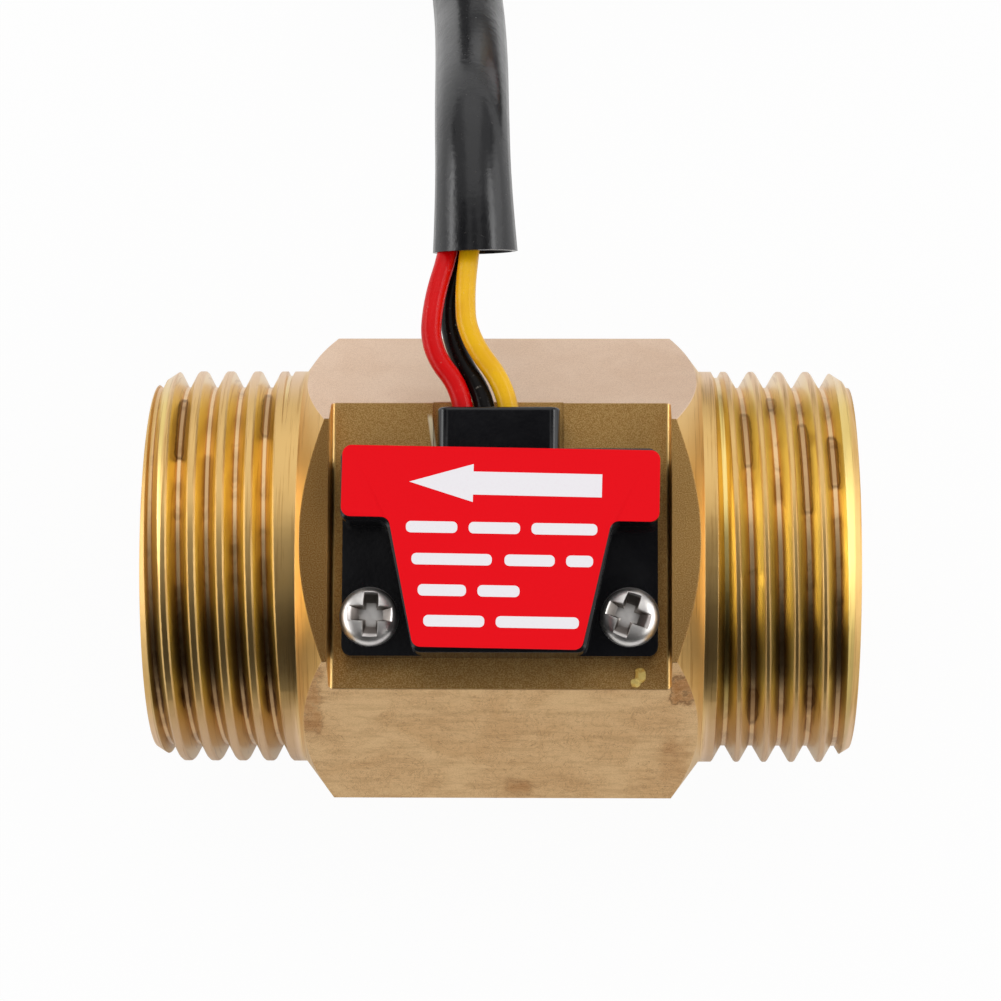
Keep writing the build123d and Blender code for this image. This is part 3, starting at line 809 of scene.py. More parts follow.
        # painted shade: the narrow gap left of the neck is darkened brown
        gap = abs(self.x - brass.gap_x).step(0.5, 0.2) * y.step(7.0, 7.5) * y.step(12.4, 10.4) * milled
        colour = self.layers(
            self.turned_parts(),
            (slanted, self.sawn_flats()),
            (milled, self.milled_flats()),
            (self.lines.step(0.54, 0.66) * self.turned * 0.4, brass.turned_line, "MULTIPLY"),
            (gap * 0.55, brass.gap, "MULTIPLY"),
            (self.painted_edge_light, brass.painted_edge_light),
        )
        colour = self.wear(self.roots(colour))
        crest = self.ends * self.radius.step(*brass.crest)
        rim = self.reach.step(*brass.rim)
        rough = brass.gloss - self.thread * 0.04 + crest * 0.03 + rim * 0.14 + slanted * 0.14
        rough = rough + milled * (0.16 - self.gouge * 0.25 + self.painted_edge_light * 0.12)
        rough = rough + self.cloud * 0.06 + self.fills * 0.12
        height = self.lines * self.turned + self.grain * (0.2 + milled * 0.8 + slanted * 0.1 + rim * 0.8)
        height = height - self.gouge * self.hit.step(0.05, -0.3) * 1.5
        raw = 1 - self.painted_edge_light * 0.8 - self.gouge * 0.35
        relief = self.bump(height, brass.depth)
        return self.finish(Base_Color=colour, Roughness=rough, Metallic=raw, Normal=relief)


@dataclass(frozen=True)
class Plastic:
    """Moulded plastic with a fine grain and slight cloudiness."""

    name: str
    colour: Colour
    worn: Colour
    gloss: float = 0.3
    edge: float = 0.12
    grain: float = 0.006
    mirror: float = 0.5

    def material(self) -> bpy.types.Material:
        """Makes the material."""
        shader = Shader(self.name, edge=self.edge, Specular_IOR_Level=self.mirror)
        cloud = shader.noise(0.3, 4.0, 0.6)
        fine = shader.noise(3.0, 3.0, 0.6)
        colour = shader.mix(cloud.step(0.35, 0.75) * 0.5, self.colour, self.worn)
        rough = self.gloss + (cloud - 0.5) * 0.12 + (fine - 0.5) * 0.08
        return shader.finish(Base_Color=colour, Roughness=rough, Normal=shader.bump(fine, self.grain))


@dataclass(frozen=True)
class Recess:
    """The crosses cut into the screws' domed heads, where shade is painted into the metal. Lengths are in
    millimetres.
    """

    x: float = 10.26
    y: float = -5.95
    dome_top: float = 34.29
    dome_fall: float = 0.1075
    depth: Span = (0.1, 0.35)
    head_rim: Span = (2.1, 2.0)
    head_foot: Span = (32.9, 33.0)
    middle: Span = (0.3, 1.2)
    strength: float = 0.85
    shade: Colour = srgb(112, 104, 98)

    def share(self, shader: Shader) -> Socket:
        """How much painted shade a place gets, by its depth under the dome.

        Args:
            shader: the material's tree.

        Returns:
            The share, 0 outside the heads.
        """
        off, across = abs(shader.x) - self.x, shader.y - self.y
        spread = (off * off + across * across).root()
        deep = self.dome_top - spread * spread * self.dome_fall - shader.z
        deep = deep.step(*self.depth) * spread.step(*self.head_rim) * shader.z.step(*self.head_foot)
        return deep * spread.step(*self.middle) * self.strength


@dataclass(frozen=True)
class Metal:
    """Plated or drawn metal with faint scratches, and painted shade in a screw's recess if it has one."""

    name: str
    colour: Colour
    worn: Colour
    gloss: float = 0.25
    recess: Recess | None = None
    edge: float = 0.04

    def material(self) -> bpy.types.Material:
        """Makes the material."""
        shader = Shader(self.name, edge=self.edge, Metallic=1.0)
        cloud = shader.noise(0.8, 4.0, 0.6)
        scratches = shader.noise(5.0, 3.0, 0.6, 0.0, (1.0, 0.1, 0.4))
        colour = shader.mix(cloud.step(0.4, 0.75) * 0.6, self.colour, self.worn)
        if self.recess:
            # painted shade in the screws' recesses
            colour = shader.mix(self.recess.share(shader), colour, self.recess.shade, "MULTIPLY")
        rough = self.gloss + cloud * 0.12
        return shader.finish(Base_Color=colour, Roughness=rough, Normal=shader.bump(scratches, 0.004))


@dataclass(frozen=True)
class Insulation:
    """Soft glossy insulation of a wire or a sleeve, with the odd dimple and dust."""

    name: str
    colour: Colour
    shade: Colour
    gloss: float = 0.28
    dust: float = 0.15
    mirror: float = 0.3

    def material(self) -> bpy.types.Material:
        """Makes the material."""
        shader = Shader(self.name, Specular_IOR_Level=self.mirror)
        cloud = shader.noise(0.5, 3.0, 0.5)
        dimples = shader.noise(1.3, 2.0, 0.5, 0.4)
        specks = shader.noise(2.6, 3.0, 0.6).step(0.66, 0.74)
        colour = shader.mix(cloud.step(0.35, 0.7) * 0.45, self.colour, self.shade)
        colour = shader.mix(specks * self.dust, colour, srgb(225, 215, 200))
        rough = self.gloss + (cloud - 0.5) * 0.15 + specks * 0.15
        return shader.finish(Base_Color=colour, Roughness=rough, Normal=shader.bump(dimples, 0.03))


@dataclass(frozen=True)
class Film:
    """Printed film: one ink colour with a faint mottle, under a satin skin."""

    name: str
    colour: Colour
    worn: Colour
    gloss: float = 0.42

    def material(self) -> bpy.types.Material:
        """Makes the material."""
        shader = Shader(self.name, Specular_IOR_Level=0.12)
        mottle = shader.noise(5.0, 3.0, 0.6)
        ripple = shader.noise(0.12, 2.0, 0.5)
        colour = shader.mix(mottle.step(0.45, 0.8) * 0.25, self.colour, self.worn)
        rough = self.gloss + (mottle - 0.5) * 0.1
        height = ripple * 0.8 + mottle * 0.05
        return shader.finish(Base_Color=colour, Roughness=rough, Normal=shader.bump(height, 0.08))


class Finishes:
    """Every finish of the sensor, made once."""

    def __init__(self) -> None:
        """Makes the materials."""
        self.brass = Brass().material()
        self.black = Plastic("black_moulding", srgb(13, 13, 16), srgb(18, 18, 21), 0.14).material()
        self.guide = Plastic("white_acetal", srgb(232, 230, 222), srgb(214, 211, 200), 0.35).material()
        self.rotor = Plastic("grey_acetal", srgb(70, 74, 80), srgb(54, 57, 62), 0.38).material()
        self.bush = Plastic("bearing_plastic", srgb(200, 190, 150), srgb(176, 164, 120), 0.32).material()
        grey, shade = srgb(52, 50, 50), srgb(38, 36, 36)
        self.magnet = Plastic("sintered_magnet", grey, shade, 0.55, grain=0.02).material()
        self.board = Plastic("green_board", srgb(20, 92, 52), srgb(14, 70, 40), 0.35).material()
        self.chip = Plastic("chip_resin", srgb(34, 34, 36), srgb(24, 24, 26), 0.5, edge=0.04).material()
        self.resin = Plastic("sealing_resin", srgb(26, 26, 28), srgb(36, 36, 38), 0.14).material()
        self.plug = Plastic("natural_nylon", srgb(236, 230, 214), srgb(220, 212, 190), 0.34).material()
        self.tie = Plastic("black_nylon", srgb(26, 26, 28), srgb(40, 40, 42), 0.4).material()
        self.steel = Metal("screw_steel", srgb(240, 236, 232), srgb(206, 202, 200), 0.31, Recess()).material()
        self.ring = Metal("spring_steel", srgb(168, 170, 174), srgb(128, 130, 136), 0.28).material()
        self.contact = Metal("tinned_contact", srgb(196, 194, 188), srgb(160, 156, 148), 0.25).material()
        self.red = Insulation("red_insulation", srgb(216, 0, 8), srgb(194, 0, 5), mirror=0.2).material()
        self.dark = Insulation("black_insulation", srgb(17, 13, 12), srgb(11, 9, 9), mirror=0.12).material()
        self.yellow = Insulation("yellow_insulation", srgb(242, 186, 16), srgb(226, 162, 8)).material()
        black, shade = srgb(18, 18, 21), srgb(12, 12, 14)
        self.sleeve = Insulation("black_sleeve", black, shade, 0.25, 0.03, 0.58).material()
        self.label = Film("red_label", srgb(241, 2, 21), srgb(232, 2, 19)).material()
        self.print = Film("white_print", srgb(246, 243, 247), srgb(240, 228, 236)).material()


# Cable
@dataclass(frozen=True)
class Route:
    """One wire: the points of its line in millimetres, where it leaves, its length and its slot."""

    name: str
    points: tuple[Point, ...]
    exit: Point
    length: float
    slot: str
    diameter: float = 1.65


RED_RUN = (
    (-3.0, 3.0, 33.2), (-2.88, 6.4, 33.2), (-2.88, 12.0, 33.2), (-5.75, 15.6, 33.4), (-5.5, 19.8, 33.0),
    (-4.15, 24.5, 31.6), (-3.8, 30.8, 31.2), (-3.85, 37.0, 27.9),
)
BLACK_RUN = (
    (-0.8, 3.0, 33.2), (-1.06, 6.4, 33.2), (-1.06, 11.5, 33.1), (-3.6, 15.4, 31.8), (-4.4, 19.4, 30.9),
    (-3.3, 23.9, 30.2), (-3.1, 30.2, 30.0), (-3.25, 36.0, 27.2),
)
YELLOW_RUN = (
    (1.4, 3.0, 33.2), (0.76, 6.4, 33.2), (0.76, 12.2, 33.2), (-2.7, 16.6, 33.6), (-2.95, 20.4, 33.1),
    (-2.5, 24.9, 31.9), (-2.1, 31.0, 31.4), (-2.25, 37.4, 28.1),
)
WIRES = (
    Route("lead_red", RED_RUN, (-2.88, 10.7, 33.2), 35.8, "wire_red"),
    Route("lead_black", BLACK_RUN, (-1.06, 10.7, 33.2), 34.4, "wire_black"),
    Route("lead_yellow", YELLOW_RUN, (0.76, 10.7, 33.2), 36.1, "wire_yellow"),
)
YELLOW_TAIL = (
    (30.9, 68.1, 3.6), (25.5, 65.6, 2.4), (18.7, 66.6, 0.825), (13.3, 71.9, 0.825), (10.5, 83.6, 2.25),
    (10.76, 91.0, 2.25),
)
BLACK_TAIL = (
    (30.6, 69.0, 2.1), (25.4, 67.1, 1.4), (19.5, 68.1, 0.825), (14.9, 72.7, 0.825), (13.0, 83.5, 2.25),
    (13.26, 90.9, 2.25),
)
RED_TAIL = (
    (30.3, 69.8, 3.6), (25.2, 68.6, 2.4), (20.3, 69.7, 0.825), (16.5, 73.5, 0.825), (15.5, 83.4, 2.25),
    (15.76, 90.8, 2.25),
)
TAILS = (
    Route("tail_lead_yellow", YELLOW_TAIL, YELLOW_TAIL[0], 39.6, "wire_yellow"),
    Route("tail_lead_black", BLACK_TAIL, BLACK_TAIL[0], 36.0, "wire_black"),
    Route("tail_lead_red", RED_TAIL, RED_TAIL[0], 33.0, "wire_red"),
)
SLEEVE_RUN = (
    (-2.15, 24.2, 30.9), (-2.3, 29.5, 31.75), (-2.55, 36.5, 28.6), (-2.8, 43.5, 20.2), (-3.3, 50.5, 10.2),
    (-4.4, 59.0, 3.9), (-7.4, 68.8, 3.1),
)


@dataclass
class Cable:
    """The lead: three wires, the sleeve with its two stored turns, and the tails into the plug."""

    finishes: Finishes
    sleeve_diameter: float = 6.2
    sleeve_wall: float = 0.4
    mouth_flare: float = 1.12
    coil_centre: Span = (20.0, 98.0)
    outer_turn: float = 37.1
    inner_turn: float = 30.9
    coil_height: float = 3.1
    join_angle: float = 215.0
    inward_from: float = -85.0
    inward_to: float = -145.0
    end_angle: float = -430.0
    points_per_turn: int = 15

    @staticmethod
    def curve(name: str, points: Sequence[Point], diameter: float, steps: int) -> bpy.types.Object:
        """Makes one smooth cord from its control points.

        Args:
            name: the cord's name.
            points: control points in millimetres.
            diameter: thickness in millimetres, or 0 for the bare line.
            steps: points of the line between two control points.

        Returns:
            The curve object.
        """
        data = bpy.data.curves.new(name, "CURVE")
        data.dimensions = "3D"
        data.resolution_u = steps
        data.bevel_depth = diameter / 2 * MM
        data.bevel_resolution = 6
        data.use_fill_caps = True
        spline = data.splines.new("NURBS")
        spline.points.add(len(points) - 1)
        for target, point in zip(spline.points, points):
            target.co = (*metres(point), 1.0)
        spline.order_u = 3
        spline.use_endpoint_u = True
        cord = bpy.data.objects.new(name, data)
        bpy.context.scene.collection.objects.link(cord)
        return cord

    def sleeve_points(self) -> list[Point]:
        """Control points of the sleeve's run and its coil.

        Returns:
            The run's points, then the points round both turns, from the outer one in.
        """
        count = round((self.join_angle - self.end_angle) / 360 * self.points_per_turn)
        step = (self.join_angle - self.end_angle) / count
        swell = 1 / math.cos(math.radians(step / 2))
        points = list(SLEEVE_RUN)
        for index in range(count + 1):
            angle = self.join_angle - step * index
            share = min(max((self.inward_from - angle) / (self.inward_from - self.inward_to), 0.0), 1.0)
            share = share * share * (3 - 2 * share)
            radius = (self.outer_turn + (self.inner_turn - self.outer_turn) * share) * swell
            turn = math.radians(angle)
            x = self.coil_centre[0] + radius * math.cos(turn)
            y = self.coil_centre[1] + radius * math.sin(turn)
            points.append((x, y, self.coil_height))
        return points

    def build_sleeve(self) -> None:
        points = self.sleeve_points()
        line = self.curve("sleeve_line", points, 0.0, 8)
        depsgraph = bpy.context.evaluated_depsgraph_get()
        path_mesh = bpy.data.meshes.new_from_object(line.evaluated_get(depsgraph))
        bpy.data.objects.remove(line)
        cord = self.curve("outer_sleeve", points, self.sleeve_diameter, 8)
        cord.data.use_fill_caps = False
        cord.data.splines[0].points[0].radius = self.mouth_flare
        Bench.only(cord)
        bpy.ops.object.convert(target="MESH")
        sleeve = bpy.context.active_object
        Bench.tidy(sleeve, 60.0)
        Bench.modify(sleeve, "SOLIDIFY", thickness=self.sleeve_wall * MM, offset=-1.0, use_rim=True)
        bpy.ops.object.shade_smooth_by_angle(angle=math.radians(60))
        dress(sleeve, self.finishes.sleeve, "sleeve", "cable_sleeve", "cable_coil")

    def build_wire(self, route: Route, steps: int, node: str, **ends: object) -> None:
        """Args:
            route: its line and sizes.
            steps: points of its line between two control points.
            node: the CAD node that it replaces.
            ends: not used.
        """
        red, dark, yellow = self.finishes.red, self.finishes.dark, self.finishes.yellow
        colours = {"wire_red": red, "wire_black": dark, "wire_yellow": yellow}
        wire = self.curve(route.name, route.points, route.diameter, steps)
        dress(wire, colours[route.slot], route.slot, node)

    def build_wires(self) -> None:
        """Makes the wires from the housing into the sleeve, and the tails from the sleeve to the plug."""
        for route in WIRES:
            self.build_wire(route, 16, route.slot, far_end="object")
        held = {
            "tail_lead_yellow": ["plug_housing", "plug_terminal_yellow"],
            "tail_lead_black": ["plug_terminal_black"],
            "tail_lead_red": ["plug_terminal_red"],
        }
        for route in TAILS:
            node = route.slot.replace("wire", "tail")
            self.build_wire(route, 12, node, far_end="connector", with_pieces=held[route.name])

    def build(self) -> None:
        """Makes the whole lead and dresses the plug, its contacts and the tie."""
        self.build_wires()
        self.build_sleeve()
        contact = self.finishes.contact
        dress_nodes(
            plug_housing=self.finishes.plug, coil_tie=self.finishes.tie, plug_terminal_red=contact,
            plug_terminal_black=contact, plug_terminal_yellow=contact,
        )


# Brass body
@dataclass
class ThreadTool:
    """Helical cutter of one threaded end, whose last turn lifts out of the metal."""

    name: str
    turned_round: bool
    root_flat: float
    flank: float
    pitch: float = 2.309
    first_groove: float = -19.68
    turns: int = 5
    root_radius: float = 15.14
    outer_radius: float = 16.54
    flare_radius: float = 16.38
    flare: float = 48.0
    lift_from: float = 180.0
    slow_lift: float = 0.91
    slow_until: float = 360.0
    lift_until: float = 425.0
    full_lift: float = 1.44
    end_feed: float = -0.55
    rings_per_turn: int = 90
    corners: int = 6

    def lift(self, angle: float) -> float:
        """How far the cutter stands out at an angle past the last full turn.

        Args:
            angle: degrees past the last whole turn.

        Returns:
            The lift in millimetres.
        """
        if angle <= self.lift_from:
            return 0.0
        if angle <= self.slow_until:
            return self.slow_lift * (angle - self.lift_from) / (self.slow_until - self.lift_from)
        share = (angle - self.slow_until) / (self.lift_until - self.slow_until)
        return self.slow_lift + (self.full_lift - self.slow_lift) * share

    def build(self) -> bpy.types.Object:
        """Makes the cutter by sweeping its profile round the flow axis.

        Returns:
            The closed cutter.
        """
        depth = self.outer_radius - self.root_radius
        start = self.first_groove - self.turns * self.pitch
        flare_depth = self.flare_radius - self.root_radius
        flare_width = self.root_flat + 2 * flare_depth * math.tan(math.radians(self.flank))
        outer_width = flare_width + 2 * (depth - flare_depth) * math.tan(math.radians(self.flare))
        middle = (self.outer_radius + self.root_radius) / 2
        centre = (start, middle, 0)
        tool = Bench.add(bpy.ops.mesh.primitive_plane_add, self.name, centre, size=depth * MM)
        with Bench.editing():
            for inner, width in ((True, self.root_flat), (False, outer_width)):
                Bench.pick(Kind.CORNER, lambda x, y, z: (y < middle) is inner)
                bpy.ops.transform.resize(value=(width / depth, 1, 1), center_override=metres(centre))
            bpy.ops.mesh.select_all(action="SELECT")
            bpy.ops.mesh.delete(type="ONLY_FACE")
            Bench.pick(Kind.EDGE, lambda x, y, z: abs(y - middle) < depth / 4)
            bpy.ops.mesh.subdivide(number_cuts=1)
            Bench.pick(Kind.CORNER, lambda x, y, z: abs(y - middle) < depth / 8)
            bpy.ops.transform.translate(value=metres((0, self.flare_radius - middle, 0)))
            share = flare_width / ((self.root_flat + outer_width) / 2)
            bpy.ops.transform.resize(value=(share, 1, 1), center_override=metres(centre))
        sweep = self.turns * 360 + self.lift_until
        rings = round(sweep / 360 * self.rings_per_turn) + 1
        Bench.modify(
            tool, "SCREW", axis="X", angle=math.radians(sweep), screw_offset=self.pitch * sweep / 360 * MM,
            steps=rings, render_steps=rings, use_merge_vertices=False,
        )
        count = len(tool.data.vertices) // self.corners
        with Bench.editing():
            self.raise_end(count, sweep)
            bpy.ops.mesh.select_all(action="DESELECT")
            bpy.ops.mesh.select_non_manifold()
            bpy.ops.mesh.fill_holes(sides=0)
            bpy.ops.mesh.select_all(action="SELECT")
            bpy.ops.mesh.normals_make_consistent(inside=False)
            if self.turned_round:
                bpy.ops.transform.rotate(value=math.pi, orient_axis="Y", center_override=(0, 0, 0))
            bpy.ops.transform.translate(value=metres((0, 0, AXIS_Z)))
        LOG.info("%s: %d faces", self.name, len(tool.data.polygons))
        return tool

    def raise_end(self, count: int, sweep: float) -> None:
        """Lifts the last part of the cutter out, ring by ring, in edit mode.

        Args:
            count: how many rings the cutter has.
            sweep: the whole turn in degrees.
        """
        for ring in range(count):
            angle = sweep * ring / (count - 1) - self.turns * 360
            raised = self.lift(angle)
            if raised:
                Bench.select(Kind.CORNER, lambda vertex: vertex.index // self.corners == ring)
                share = 1 + raised / self.root_radius
                bpy.ops.transform.resize(value=(1, share, share), center_override=(0, 0, 0))
                feed = self.end_feed * (angle - self.lift_from) / (self.slow_until - self.lift_from)
                bpy.ops.transform.translate(value=(feed * MM, 0, 0))


@dataclass
class BrassBody:
    """The hexagon body with its two cut threads."""

    finishes: Finishes
    relief_half: float = 5.5
    relief_shift: float = 0.42
    relief_floor: float = 29.9
    relief_lift: float = 0.65
    relief_from: float = 4.0
    relief_back: float = 11.9
    back_slope: float = math.radians(30)
    tolerance: float = 0.02
    smooth: float = 18.0
    tools: tuple[ThreadTool, ...] = (
        ThreadTool("left_thread_tool", False, 0.3, 27.5), ThreadTool("right_thread_tool", True, 0.35, 30.0)
    )

    def move_relief(self) -> None:
        """Shifts one wall of the relief under the neck and raises its floor, in edit mode."""
        wall, near = self.relief_half, self.tolerance
        Bench.pick(Kind.CORNER, lambda x, y, z: abs(x - wall) < near and y > self.relief_from and z > 29.5)
        bpy.ops.transform.translate(value=(-self.relief_shift * MM, 0, 0))
        back = self.relief_lift * math.tan(self.back_slope)
        for behind, shift in ((False, (0, 0, self.relief_lift)), (True, (0, -back, self.relief_lift))):
            Bench.pick(
                Kind.CORNER,
                lambda x, y, z: abs(x) < wall + near
                and y > self.relief_from
                and (y > self.relief_back) is behind
                and abs(z - self.relief_floor) < near,
            )
            bpy.ops.transform.translate(value=metres(shift))

    def build(self) -> None:
        """Cuts both threads into a copy of the body and dresses it."""
        body = Bench.copy_node("brass_body", "threaded_body")
        with Bench.editing():
            self.move_relief()
        for tool in self.tools:
            cutter = tool.build()
            Bench.modify(body, "BOOLEAN", operation="DIFFERENCE", solver="EXACT", object=cutter)
            bpy.data.objects.remove(cutter)
        Bench.tidy(body, self.smooth)
        dress(body, self.finishes.brass, "brass", "brass_body")


# Moulded sensor
@dataclass
class Label:
    """Red film on the platform, with its printed arrow and plain bars."""

    finishes: Finishes
    top: float = 35.85
    ink: float = 0.02
    arrow_turn: float = -1.25
    bar_turn: float = -0.9
    arrow_tip: float = -7.19
    arrow_shoulder: float = -2.09
    arrow_end: float = 8.18
    arrow_middle: float = 4.27
    head_half: float = 1.53
    shaft_half: float = 0.93
    bar_height: float = 0.92
    bar_round: float = 0.42
    rows: tuple[tuple[float, tuple[Span, ...]], ...] = (
        (0.7, ((-7.5, -3.4), (-2.5, 1.6), (2.5, 7.75))),
        (-1.86, ((-7.0, -0.6), (0.4, 4.4), (5.3, 7.45))),
        (-4.35, ((-6.45, -2.6), (-1.7, 1.65))),
        (-6.8, ((-5.95, -1.1), (-0.2, 6.4))),
    )

    def build_arrow(self) -> None:
        """Makes the arrow from a plane, tapered to the tip, with the shaft drawn out of its base."""
        head, line = self.arrow_shoulder - self.arrow_tip, self.arrow_middle
        centre = (self.arrow_tip + head / 2, line, self.top)
        arrow = Bench.add(bpy.ops.mesh.primitive_plane_add, "label_arrow", centre, size=head * MM)
        base, tip = metres((self.arrow_shoulder, line, self.top)), metres((self.arrow_tip, line, self.top))
        with Bench.editing():
            Bench.pick(Kind.CORNER, lambda x, y, z: x < self.arrow_tip + 1)
            bpy.ops.transform.resize(value=(1, 0.001, 1), center_override=tip)
            Bench.pick(Kind.CORNER, lambda x, y, z: x > self.arrow_shoulder - 1)
            bpy.ops.transform.resize(value=(1, 2 * self.head_half / head, 1), center_override=base)
            Bench.pick(Kind.EDGE, lambda x, y, z: x > self.arrow_shoulder - 1)
            bpy.ops.mesh.subdivide(number_cuts=2)
            inner = self.head_half * 0.6
            Bench.pick(Kind.CORNER, lambda x, y, z: x > self.arrow_shoulder - 0.2 and abs(y - line) < inner)
            share = 3 * self.shaft_half / self.head_half
            bpy.ops.transform.resize(value=(1, share, 1), center_override=base)
            Bench.pick(Kind.EDGE, lambda x, y, z: x > self.arrow_shoulder - 0.2 and abs(y - line) < 0.1)
            reach = {"value": ((self.arrow_end - self.arrow_shoulder) * MM, 0, 0)}
            bpy.ops.mesh.extrude_region_move(TRANSFORM_OT_translate=reach)
            bpy.ops.mesh.select_all(action="SELECT")
            Bench.turn(self.arrow_turn, (0.5, line, self.top))
        self.print_up(arrow)

    def build_bars(self) -> None:
        """Makes every plain bar from a plane with rounded corners, and joins them."""
        bars = []
        for row, (middle, spans) in enumerate(self.rows):
            for index, (left, right) in enumerate(spans):
                name, centre = f"bar_{row}_{index}", ((left + right) / 2, middle, self.top)
                stretch = ((right - left) * MM, self.bar_height * MM, 1)
                bar = Bench.add(bpy.ops.mesh.primitive_plane_add, name, centre, stretch, size=1.0)
                with Bench.editing():
                    rounding = self.bar_height * self.bar_round * MM
                    bpy.ops.mesh.bevel(offset=rounding, segments=5, affect="VERTICES")
                bars.append(bar)
        Bench.only(bars[0])
        for bar in bars:
            bar.select_set(True)
        bpy.ops.object.join()
        joined = Bench.named("label_bars")
        with Bench.editing():
            Bench.turn(self.bar_turn, (0.0, -3.0, self.top))
        self.print_up(joined)

    def print_up(self, piece: bpy.types.Object) -> None:
        """Gives a flat print, which lies on the film, its thickness and its ink."""
        Bench.modify(piece, "SOLIDIFY", thickness=self.ink * MM, offset=1.0)
        Bench.tidy(piece, merge=FINE_MERGE)
        dress(piece, self.finishes.print, "label_film")

    def build(self) -> None:
        """Makes the film and its print."""
        film = Bench.copy_node("label", "label_film")
        Bench.round_edges(film, 0.05, 2, 60.0)
        Bench.tidy(film, 35.0)
        Bench.modify(film, "WEIGHTED_NORMAL", keep_sharp=True, weight=90)
        dress(film, self.finishes.label, "label_film", "label")
        self.build_arrow()
        self.build_bars()


@dataclass
class PanScrew:
    """Pan head screw with a cross recess."""

    name: str
    node: str
    x: float
    recess_turn: float
    recess_x: float
    recess_y: float = -5.95
    y: float = -6.1
    seat: float = 32.7
    head: float = 2.4
    shank: float = 1.25
    arm_length: float = 4.5
    arm_width: float = 1.35
    recess_depth: float = 1.35
    recess_rise: float = 1.75
    long_taper: float = 0.42
    wide_taper: float = 0.6
    sides: int = 64

    def build_recess(self) -> bpy.types.Object:
        """Makes the driver's cross that is cut from the head: two crossed tapered blades.

        Returns:
            The cutter.
        """
        top = self.seat + self.recess_rise
        middle = (self.recess_x, self.recess_y, top - self.recess_depth / 2)
        long, wide, deep = self.arm_length * MM, self.arm_width * MM, self.recess_depth * MM
        shapes = (
            ((wide, long, deep), (self.wide_taper, self.long_taper, 1)),
            ((long, wide, deep), (self.long_taper, self.wide_taper, 1)),
        )
        blades = []
        for index, (size, taper) in enumerate(shapes):
            name = f"{self.name}_blade_{index}"
            blades.append(Bench.add(bpy.ops.mesh.primitive_cube_add, name, middle, size, size=1.0))
            with Bench.editing():
                Bench.pick(Kind.CORNER, lambda x, y, z: z < middle[2])
                bpy.ops.transform.resize(value=taper, center_override=metres(middle))
        cross, other = blades
        Bench.modify(cross, "BOOLEAN", operation="UNION", solver="EXACT", object=other)
        bpy.data.objects.remove(other)
        with Bench.editing():
            Bench.turn(self.recess_turn, (self.recess_x, self.recess_y, top))
        return cross

    def build(self, finishes: Finishes) -> None:
        """Turns the screw, cuts its recess and dresses it."""
        shank, head = self.shank, self.head
        rings = (
            (shank * 0.8, -4.8), (shank, -4.6), (shank, -0.01), (head - 0.08, 0.0), (head, 0.08), (head, 0.4),
            (head - 0.05, 0.6), (2.2, 0.95), (2.0, 1.16), (1.75, 1.32), (1.4, 1.45), (1.0, 1.54), (0.5, 1.59),
        )
        profile = [(radius, self.seat + rise) for radius, rise in rings]
        screw = Bench.lathe(self.name, profile, (self.x, self.y), self.sides)
        cross = self.build_recess()
        Bench.modify(screw, "BOOLEAN", operation="DIFFERENCE", solver="EXACT", object=cross)
        bpy.data.objects.remove(cross)
        Bench.round_edges(screw, 0.07, 2, 38.0)
        Bench.tidy(screw, 30.0)
        dress(screw, finishes.steel, "stainless", self.node)


@dataclass
class Sensor:
    """The moulded sensor with its label and its two screws."""

    finishes: Finishes
    rounding: float = 0.12
    neck_left: Span = (-5.0, -3.9)
    neck_from: float = 7.1
    neck_shift: float = 0.2
    screws: tuple[PanScrew, ...] = (
        PanScrew("pan_screw_left", "screw_left", -10.45, -2.0, -10.3),
        PanScrew("pan_screw_right", "screw_right", 10.42, -20.0, 10.22),
    )

    def build(self) -> None:
        """Makes the moulding, the label and the screws, and dresses the parts inside."""
        housing = Bench.copy_node("sensor_housing", "moulded_housing")
        low, high = self.neck_left
        with Bench.editing():
            bpy.ops.mesh.dissolve_limited(angle_limit=math.radians(0.5))
            Bench.pick(Kind.CORNER, lambda x, y, z: y > self.neck_from and low < x < high)
            bpy.ops.transform.translate(value=(-self.neck_shift * MM, 0, 0))
        Bench.round_edges(housing, self.rounding, 3, 50.0)
        Bench.tidy(housing, 35.0, merge=FINE_MERGE)
        Bench.modify(housing, "WEIGHTED_NORMAL", keep_sharp=True, weight=90)
        dress(housing, self.finishes.black, "housing_plastic", "sensor_housing")
        dress_nodes(
            circuit_board=self.finishes.board, hall_chip=self.finishes.chip, pull_up_chip=self.finishes.chip,
            potting=self.finishes.resin,
        )
        Label(self.finishes).build()
        for screw in self.screws:
            screw.build(self.finishes)


@dataclass
class Turbine:
    """The guides, bushes, ring and rotor inside the bore."""

    finishes: Finishes

    def build(self) -> None:
        """Dresses every piece in the bore."""
        finishes = self.finishes
        dress_nodes(
            outlet_guide=finishes.guide, inlet_guide=finishes.guide, outlet_bush=finishes.bush,
            inlet_bush=finishes.bush, retaining_ring=finishes.ring, turbine_rotor=finishes.rotor,
            rotor_shaft=finishes.ring, rotor_magnet=finishes.magnet,
        )


# Studio
@dataclass(frozen=True)
class Lamp:
    """A soft lamp that looks at the object. Turns are in degrees from straight up, sizes in metres."""

    name: str
    tilt: float
    side: float
    width: float
    height: float
    level: float
    distance: float = 0.7

    def build(self) -> None:
        """Adds the lamp, tilted towards +Y or aside towards +X, with its face as bright as level says."""
        data = bpy.data.lights.new(self.name, "AREA")
        data.shape = "RECTANGLE"
        data.size, data.size_y = self.width, self.height
        data.energy = self.level * math.pi * self.width * self.height
        lamp = bpy.data.objects.new(self.name, data)
        bpy.context.scene.collection.objects.link(lamp)
        aside = Matrix.Rotation(math.radians(self.side), 3, "Y")
        turn = aside @ Matrix.Rotation(math.radians(-self.tilt), 3, "X")
        lamp.location = turn @ Vector((0, 0, self.distance))
        lamp.rotation_euler = turn.to_euler()


